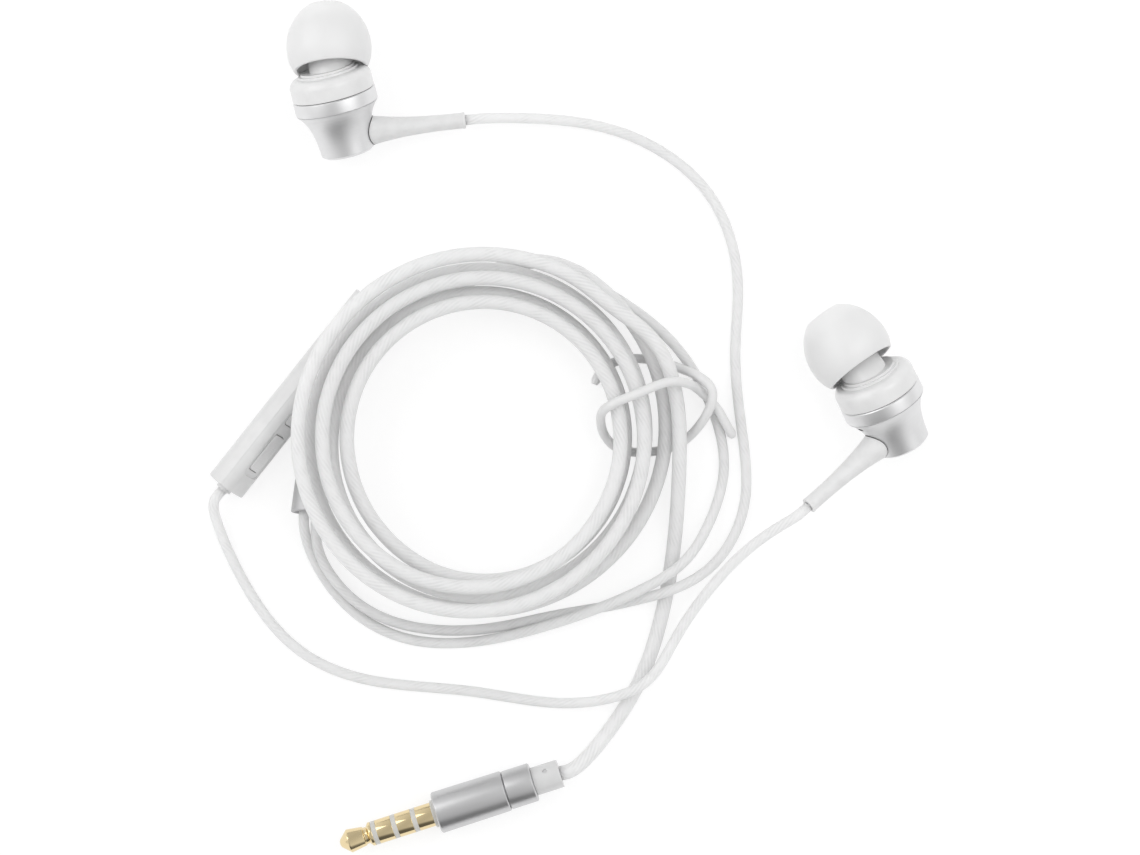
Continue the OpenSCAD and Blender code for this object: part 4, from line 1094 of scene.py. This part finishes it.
insert = turned("splitter_fork_plug", splitter_place, [
    (0, INSERT_Z), (splitter_radius(INSERT_Z) - SPLITTER_WALL - 0.05, INSERT_Z),
    (splitter_radius(splitter_face) - SPLITTER_WALL - 0.05, splitter_face), (0, splitter_face)], 0.15)
fitted(insert, cap_plastic, "splitter_insert")
core_plastic = moulded_plastic("core_plastic", 0.62, 0.4, (1, 0.97, 0.9))
coat(core_plastic, "splitter_core")

# ---- plug
# A 3.5 mm plug with four contacts: bright gold tip, two rings and sleeve with pale insulators between them.
# Its aluminium barrel has a separate end cap, screwed in over the flexible white relief of the main cord.
CAP_BEVEL = 0.2
RELIEF_R = MAIN_D / 2 + 1.0
RELIEF_NECK_R = RELIEF_R - 0.7
RELIEF_L = 4.0
DIMPLE_R = 0.36
DIMPLE_DEPTH = 0.3
DIMPLE_TURN = 35
END_CAP_R = BARREL_R - 0.2
END_CAP_L = 4.1
END_CAP_Z = RELIEF_L + END_CAP_L
THREAD_L = 2.4
THREAD_BORE_R = RELIEF_NECK_R - 0.2
BARREL_L = 10.5
BARREL_GAP = 0.12
BARREL_Z = END_CAP_Z + BARREL_GAP
BARREL_END_Z = BARREL_Z + BARREL_L
BARREL_BORE_R = BARREL_R - 0.65
COLLAR_R = 2.0
COLLAR_SEAT = 0.8
COLLAR_OUT = 0.5
PIN_R = 1.75
PIN_L = 14.0
PIN_Z = BARREL_END_Z + COLLAR_OUT
ROOT_R = PIN_R - 0.25
SHANK_R = 1.2
RING_L = 2.3
INSULATOR_L = 0.7
SLEEVE_L = 2.35
SLEEVE_END_Z = PIN_Z + SLEEVE_L
SECOND_RING_Z = SLEEVE_END_Z + INSULATOR_L
FIRST_RING_Z = SECOND_RING_Z + RING_L + INSULATOR_L
TIP_BASE_Z = FIRST_RING_Z + RING_L + INSULATOR_L
PIN_END_Z = PIN_Z + PIN_L
SLEEVE_FLANGE_Z = BARREL_END_Z - COLLAR_SEAT - 1.4
ROD_R = 0.45
ROD_BACK_Z = SLEEVE_FLANGE_Z - 2.6
GOLD = (0.83, 0.69, 0.43, 1)
DEEP_GOLD = (0.80, 0.65, 0.38, 1)


def plated_gold(name, place):
    """Bright gold plate: nearly a mirror, with fine rings, and a little uneven where it is rubbed."""
    finish = Finish(name)
    _, _, z = finish.axes(finish.spot(place))
    rings = finish.cloud(0.07, 3, finish.add("ShaderNodeCombineXYZ", {}, {"Z": z}))
    rubbed = finish.cloud(0.9, 3)
    return finish.settle(
        Base_Color=finish.blend(rubbed, GOLD, DEEP_GOLD),
        Metallic=1.0,
        Roughness=rubbed * 0.03 + 0.06,
        Normal=finish.relief(rings, 0.0004))


plug_metal = turned_metal("plug_aluminium", plug_place, DULL_SILVER, 0.27, 0.004)
gold = plated_gold("contact_gold", plug_place)
insulator_plastic = moulded_plastic("insulator_plastic", 0.64, 0.35, (1, 0.985, 0.93))
relief_plastic = moulded_plastic("relief_plastic", 0.72, 0.3)
plug_pieces = []
for name, node, finish, edge, outline in (
        ("plug_relief_sleeve", "plug_relief", relief_plastic, 0.12, [
            (0, 0), (RELIEF_R, 0), (RELIEF_R, RELIEF_L), (RELIEF_NECK_R, RELIEF_L),
            (RELIEF_NECK_R, END_CAP_Z - 0.1), (0, END_CAP_Z - 0.1)]),
        ("plug_cap_shell", "plug_end_cap", plug_metal, 0.06, [
            (RELIEF_NECK_R + FIT, RELIEF_L + FIT), (END_CAP_R - CAP_BEVEL, RELIEF_L + FIT),
            (END_CAP_R, RELIEF_L + CAP_BEVEL), (END_CAP_R, END_CAP_Z - 0.1), (END_CAP_R - 0.1, END_CAP_Z),
            (BARREL_BORE_R - 0.05, END_CAP_Z), (BARREL_BORE_R - 0.05, END_CAP_Z + THREAD_L),
            (THREAD_BORE_R, END_CAP_Z + THREAD_L), (THREAD_BORE_R, END_CAP_Z),
            (RELIEF_NECK_R + FIT, END_CAP_Z)]),
        ("plug_barrel_shell", "plug_barrel", plug_metal, 0.06, [
            (BARREL_BORE_R, BARREL_Z), (BARREL_R - CAP_BEVEL, BARREL_Z), (BARREL_R - 0.07, BARREL_Z + 0.15),
            (BARREL_R, BARREL_END_Z - CAP_BEVEL), (BARREL_R - CAP_BEVEL, BARREL_END_Z),
            (COLLAR_R + FIT, BARREL_END_Z), (COLLAR_R + FIT, BARREL_END_Z - COLLAR_SEAT),
            (BARREL_BORE_R, BARREL_END_Z - COLLAR_SEAT)]),
        ("plug_collar_ring", "plug_collar", insulator_plastic, 0.06,
         ring(ROOT_R + FIT, COLLAR_R, BARREL_END_Z - COLLAR_SEAT, PIN_Z)),
        ("plug_sleeve_contact", "plug_sleeve", gold, 0.05, [
            (SHANK_R, SLEEVE_FLANGE_Z), (BARREL_BORE_R - 0.05, SLEEVE_FLANGE_Z),
            (BARREL_BORE_R - 0.05, SLEEVE_FLANGE_Z + 0.8), (ROOT_R, SLEEVE_FLANGE_Z + 0.8), (ROOT_R, PIN_Z),
            (PIN_R, PIN_Z), (PIN_R, SLEEVE_END_Z), (SHANK_R, SLEEVE_END_Z)]),
        ("plug_second_contact", "plug_second_ring", gold, 0.05,
         ring(SHANK_R, PIN_R, SECOND_RING_Z, SECOND_RING_Z + RING_L)),
        ("plug_first_contact", "plug_first_ring", gold, 0.05,
         ring(SHANK_R, PIN_R, FIRST_RING_Z, FIRST_RING_Z + RING_L)),
        ("plug_tip_contact", "plug_tip", gold, 0.08, [
            (0, ROD_BACK_Z), (ROD_R, ROD_BACK_Z), (ROD_R, TIP_BASE_Z), (PIN_R, TIP_BASE_Z),
            (PIN_R, TIP_BASE_Z + 0.4), (0.7 * PIN_R, TIP_BASE_Z + 0.8), (0.7 * PIN_R, TIP_BASE_Z + 1.2),
            (0.8 * PIN_R, PIN_END_Z - 3.6), (0.98 * PIN_R, PIN_END_Z - 1.5), (0.98 * PIN_R, PIN_END_Z - 1.3),
            (0.36 * PIN_R, PIN_END_Z - 0.15), (0.2 * PIN_R, PIN_END_Z), (0, PIN_END_Z)])):
    crease = CREASE if finish is relief_plastic else METAL_CREASE
    piece = turned(name, plug_place, outline, edge, crease=crease)
    fitted(piece, finish, node)
    plug_pieces.append(piece)

dimple_place = moved(
    moved(plug_place, 0, 0, 0, ("Z", DIMPLE_TURN)), -RELIEF_R, 0, 0.5 * RELIEF_L, ("Y", 90))
dimple = turned("dimple", dimple_place, ring(0, DIMPLE_R, -DIMPLE_DEPTH, DIMPLE_DEPTH), steps=48)
carved(plug_pieces[0], "DIFFERENCE", dimple)

for i, z in enumerate((SLEEVE_END_Z, SECOND_RING_Z + RING_L, FIRST_RING_Z + RING_L)):
    spacer = turned(f"plug_insulator_{i + 1}", plug_place, ring(
        SHANK_R, PIN_R - FIT, z, z + INSULATOR_L), 0.04)
    fitted(spacer, insulator_plastic, "plug_insulators")
    plug_pieces.append(spacer)
coat(core_plastic, "plug_core")

# ---- table and light
# A white table under one large soft lamp over the upper left and a weaker one over the right, in a white
# room. The table is lit like the rest, and shines its own white to the lens, so that only soft shadows stay
# on it. What the metals show of the room is darker in front, with a brighter strip on each side.
ROOM_LEVEL = 0.72
TABLE_GLOW = 0.75
LAMPS_FACE = (-5, -25, 0)


def rays(nodes):
    """1 for a ray from the lens, off a glossy surface, and through a clear one, each else 0."""
    return [nodes.add("ShaderNodeLightPath", {}, {}, f"Is {kind} Ray")
            for kind in ("Camera", "Glossy", "Transmission")]


floor_skin = bmesh.new()
bmesh.ops.create_grid(floor_skin, x_segments=1, y_segments=1, size=1.5)
floor = finished("table_top", floor_skin)
table_white = Finish("table_white")
seen, glossy, through = rays(table_white)
matt = table_white.add("ShaderNodeBsdfDiffuse", {}, {"Color": grey(0.95)})
dim_matt = table_white.add("ShaderNodeBsdfDiffuse", {}, {"Color": grey(0.30)})
glow = table_white.add("ShaderNodeEmission", {}, {"Color": grey(1.0), "Strength": TABLE_GLOW})
lit = table_white.add("ShaderNodeAddShader", {}, {0: glow, 1: dim_matt})
looked_at = seen.math("MAXIMUM", seen, glossy.math("MAXIMUM", glossy, through))
top = table_white.add("ShaderNodeMixShader", {}, {0: looked_at, 1: matt, 2: lit})
table_white.connect(table_white.tree.nodes["Material Output"], {"Surface": top})
coat(table_white, floor)

studio = bpy.data.worlds.new("studio")
bpy.context.scene.world = studio
studio.use_nodes = True
room = Nodes(studio.node_tree)
seen, glossy, through = rays(room)
across, along, _ = room.axes(room.add("ShaderNodeTexCoord", {}, {}, "Generated"))
bright_sides = across * across * (1 - across * across) * 2.2 + 0.72
walls = along.above(-0.88, -0.56, 0.17, 0.8) * bright_sides
around = room.add("ShaderNodeMix", {}, {0: glossy, 2: ROOM_LEVEL, 3: walls})
level = room.add("ShaderNodeMix", {}, {0: seen.math("MAXIMUM", seen, through), 2: around, 3: 1.0})
room.connect(room.tree.nodes["Background"], {"Color": grey(1.0), "Strength": level})


def soft_lamp(name, position, width, watts):
    """A square lamp that faces the middle of the table, placed in millimetres."""
    sheet = bpy.data.lights.new(name, "AREA")
    sheet.size = width * MM
    sheet.energy = watts
    lamp = bpy.data.objects.new(name, sheet)
    lamp.location = Vector(position) * MM
    lamp.rotation_euler = (Vector(LAMPS_FACE) - Vector(position)).to_track_quat("-Z", "Y").to_euler()
    bpy.context.scene.collection.objects.link(lamp)


soft_lamp("left_lamp", (-360, 110, 350), 400, 0.62)
soft_lamp("right_lamp", (240, 60, 440), 330, 0.55)
bpy.context.scene.view_settings.view_transform = "Standard"
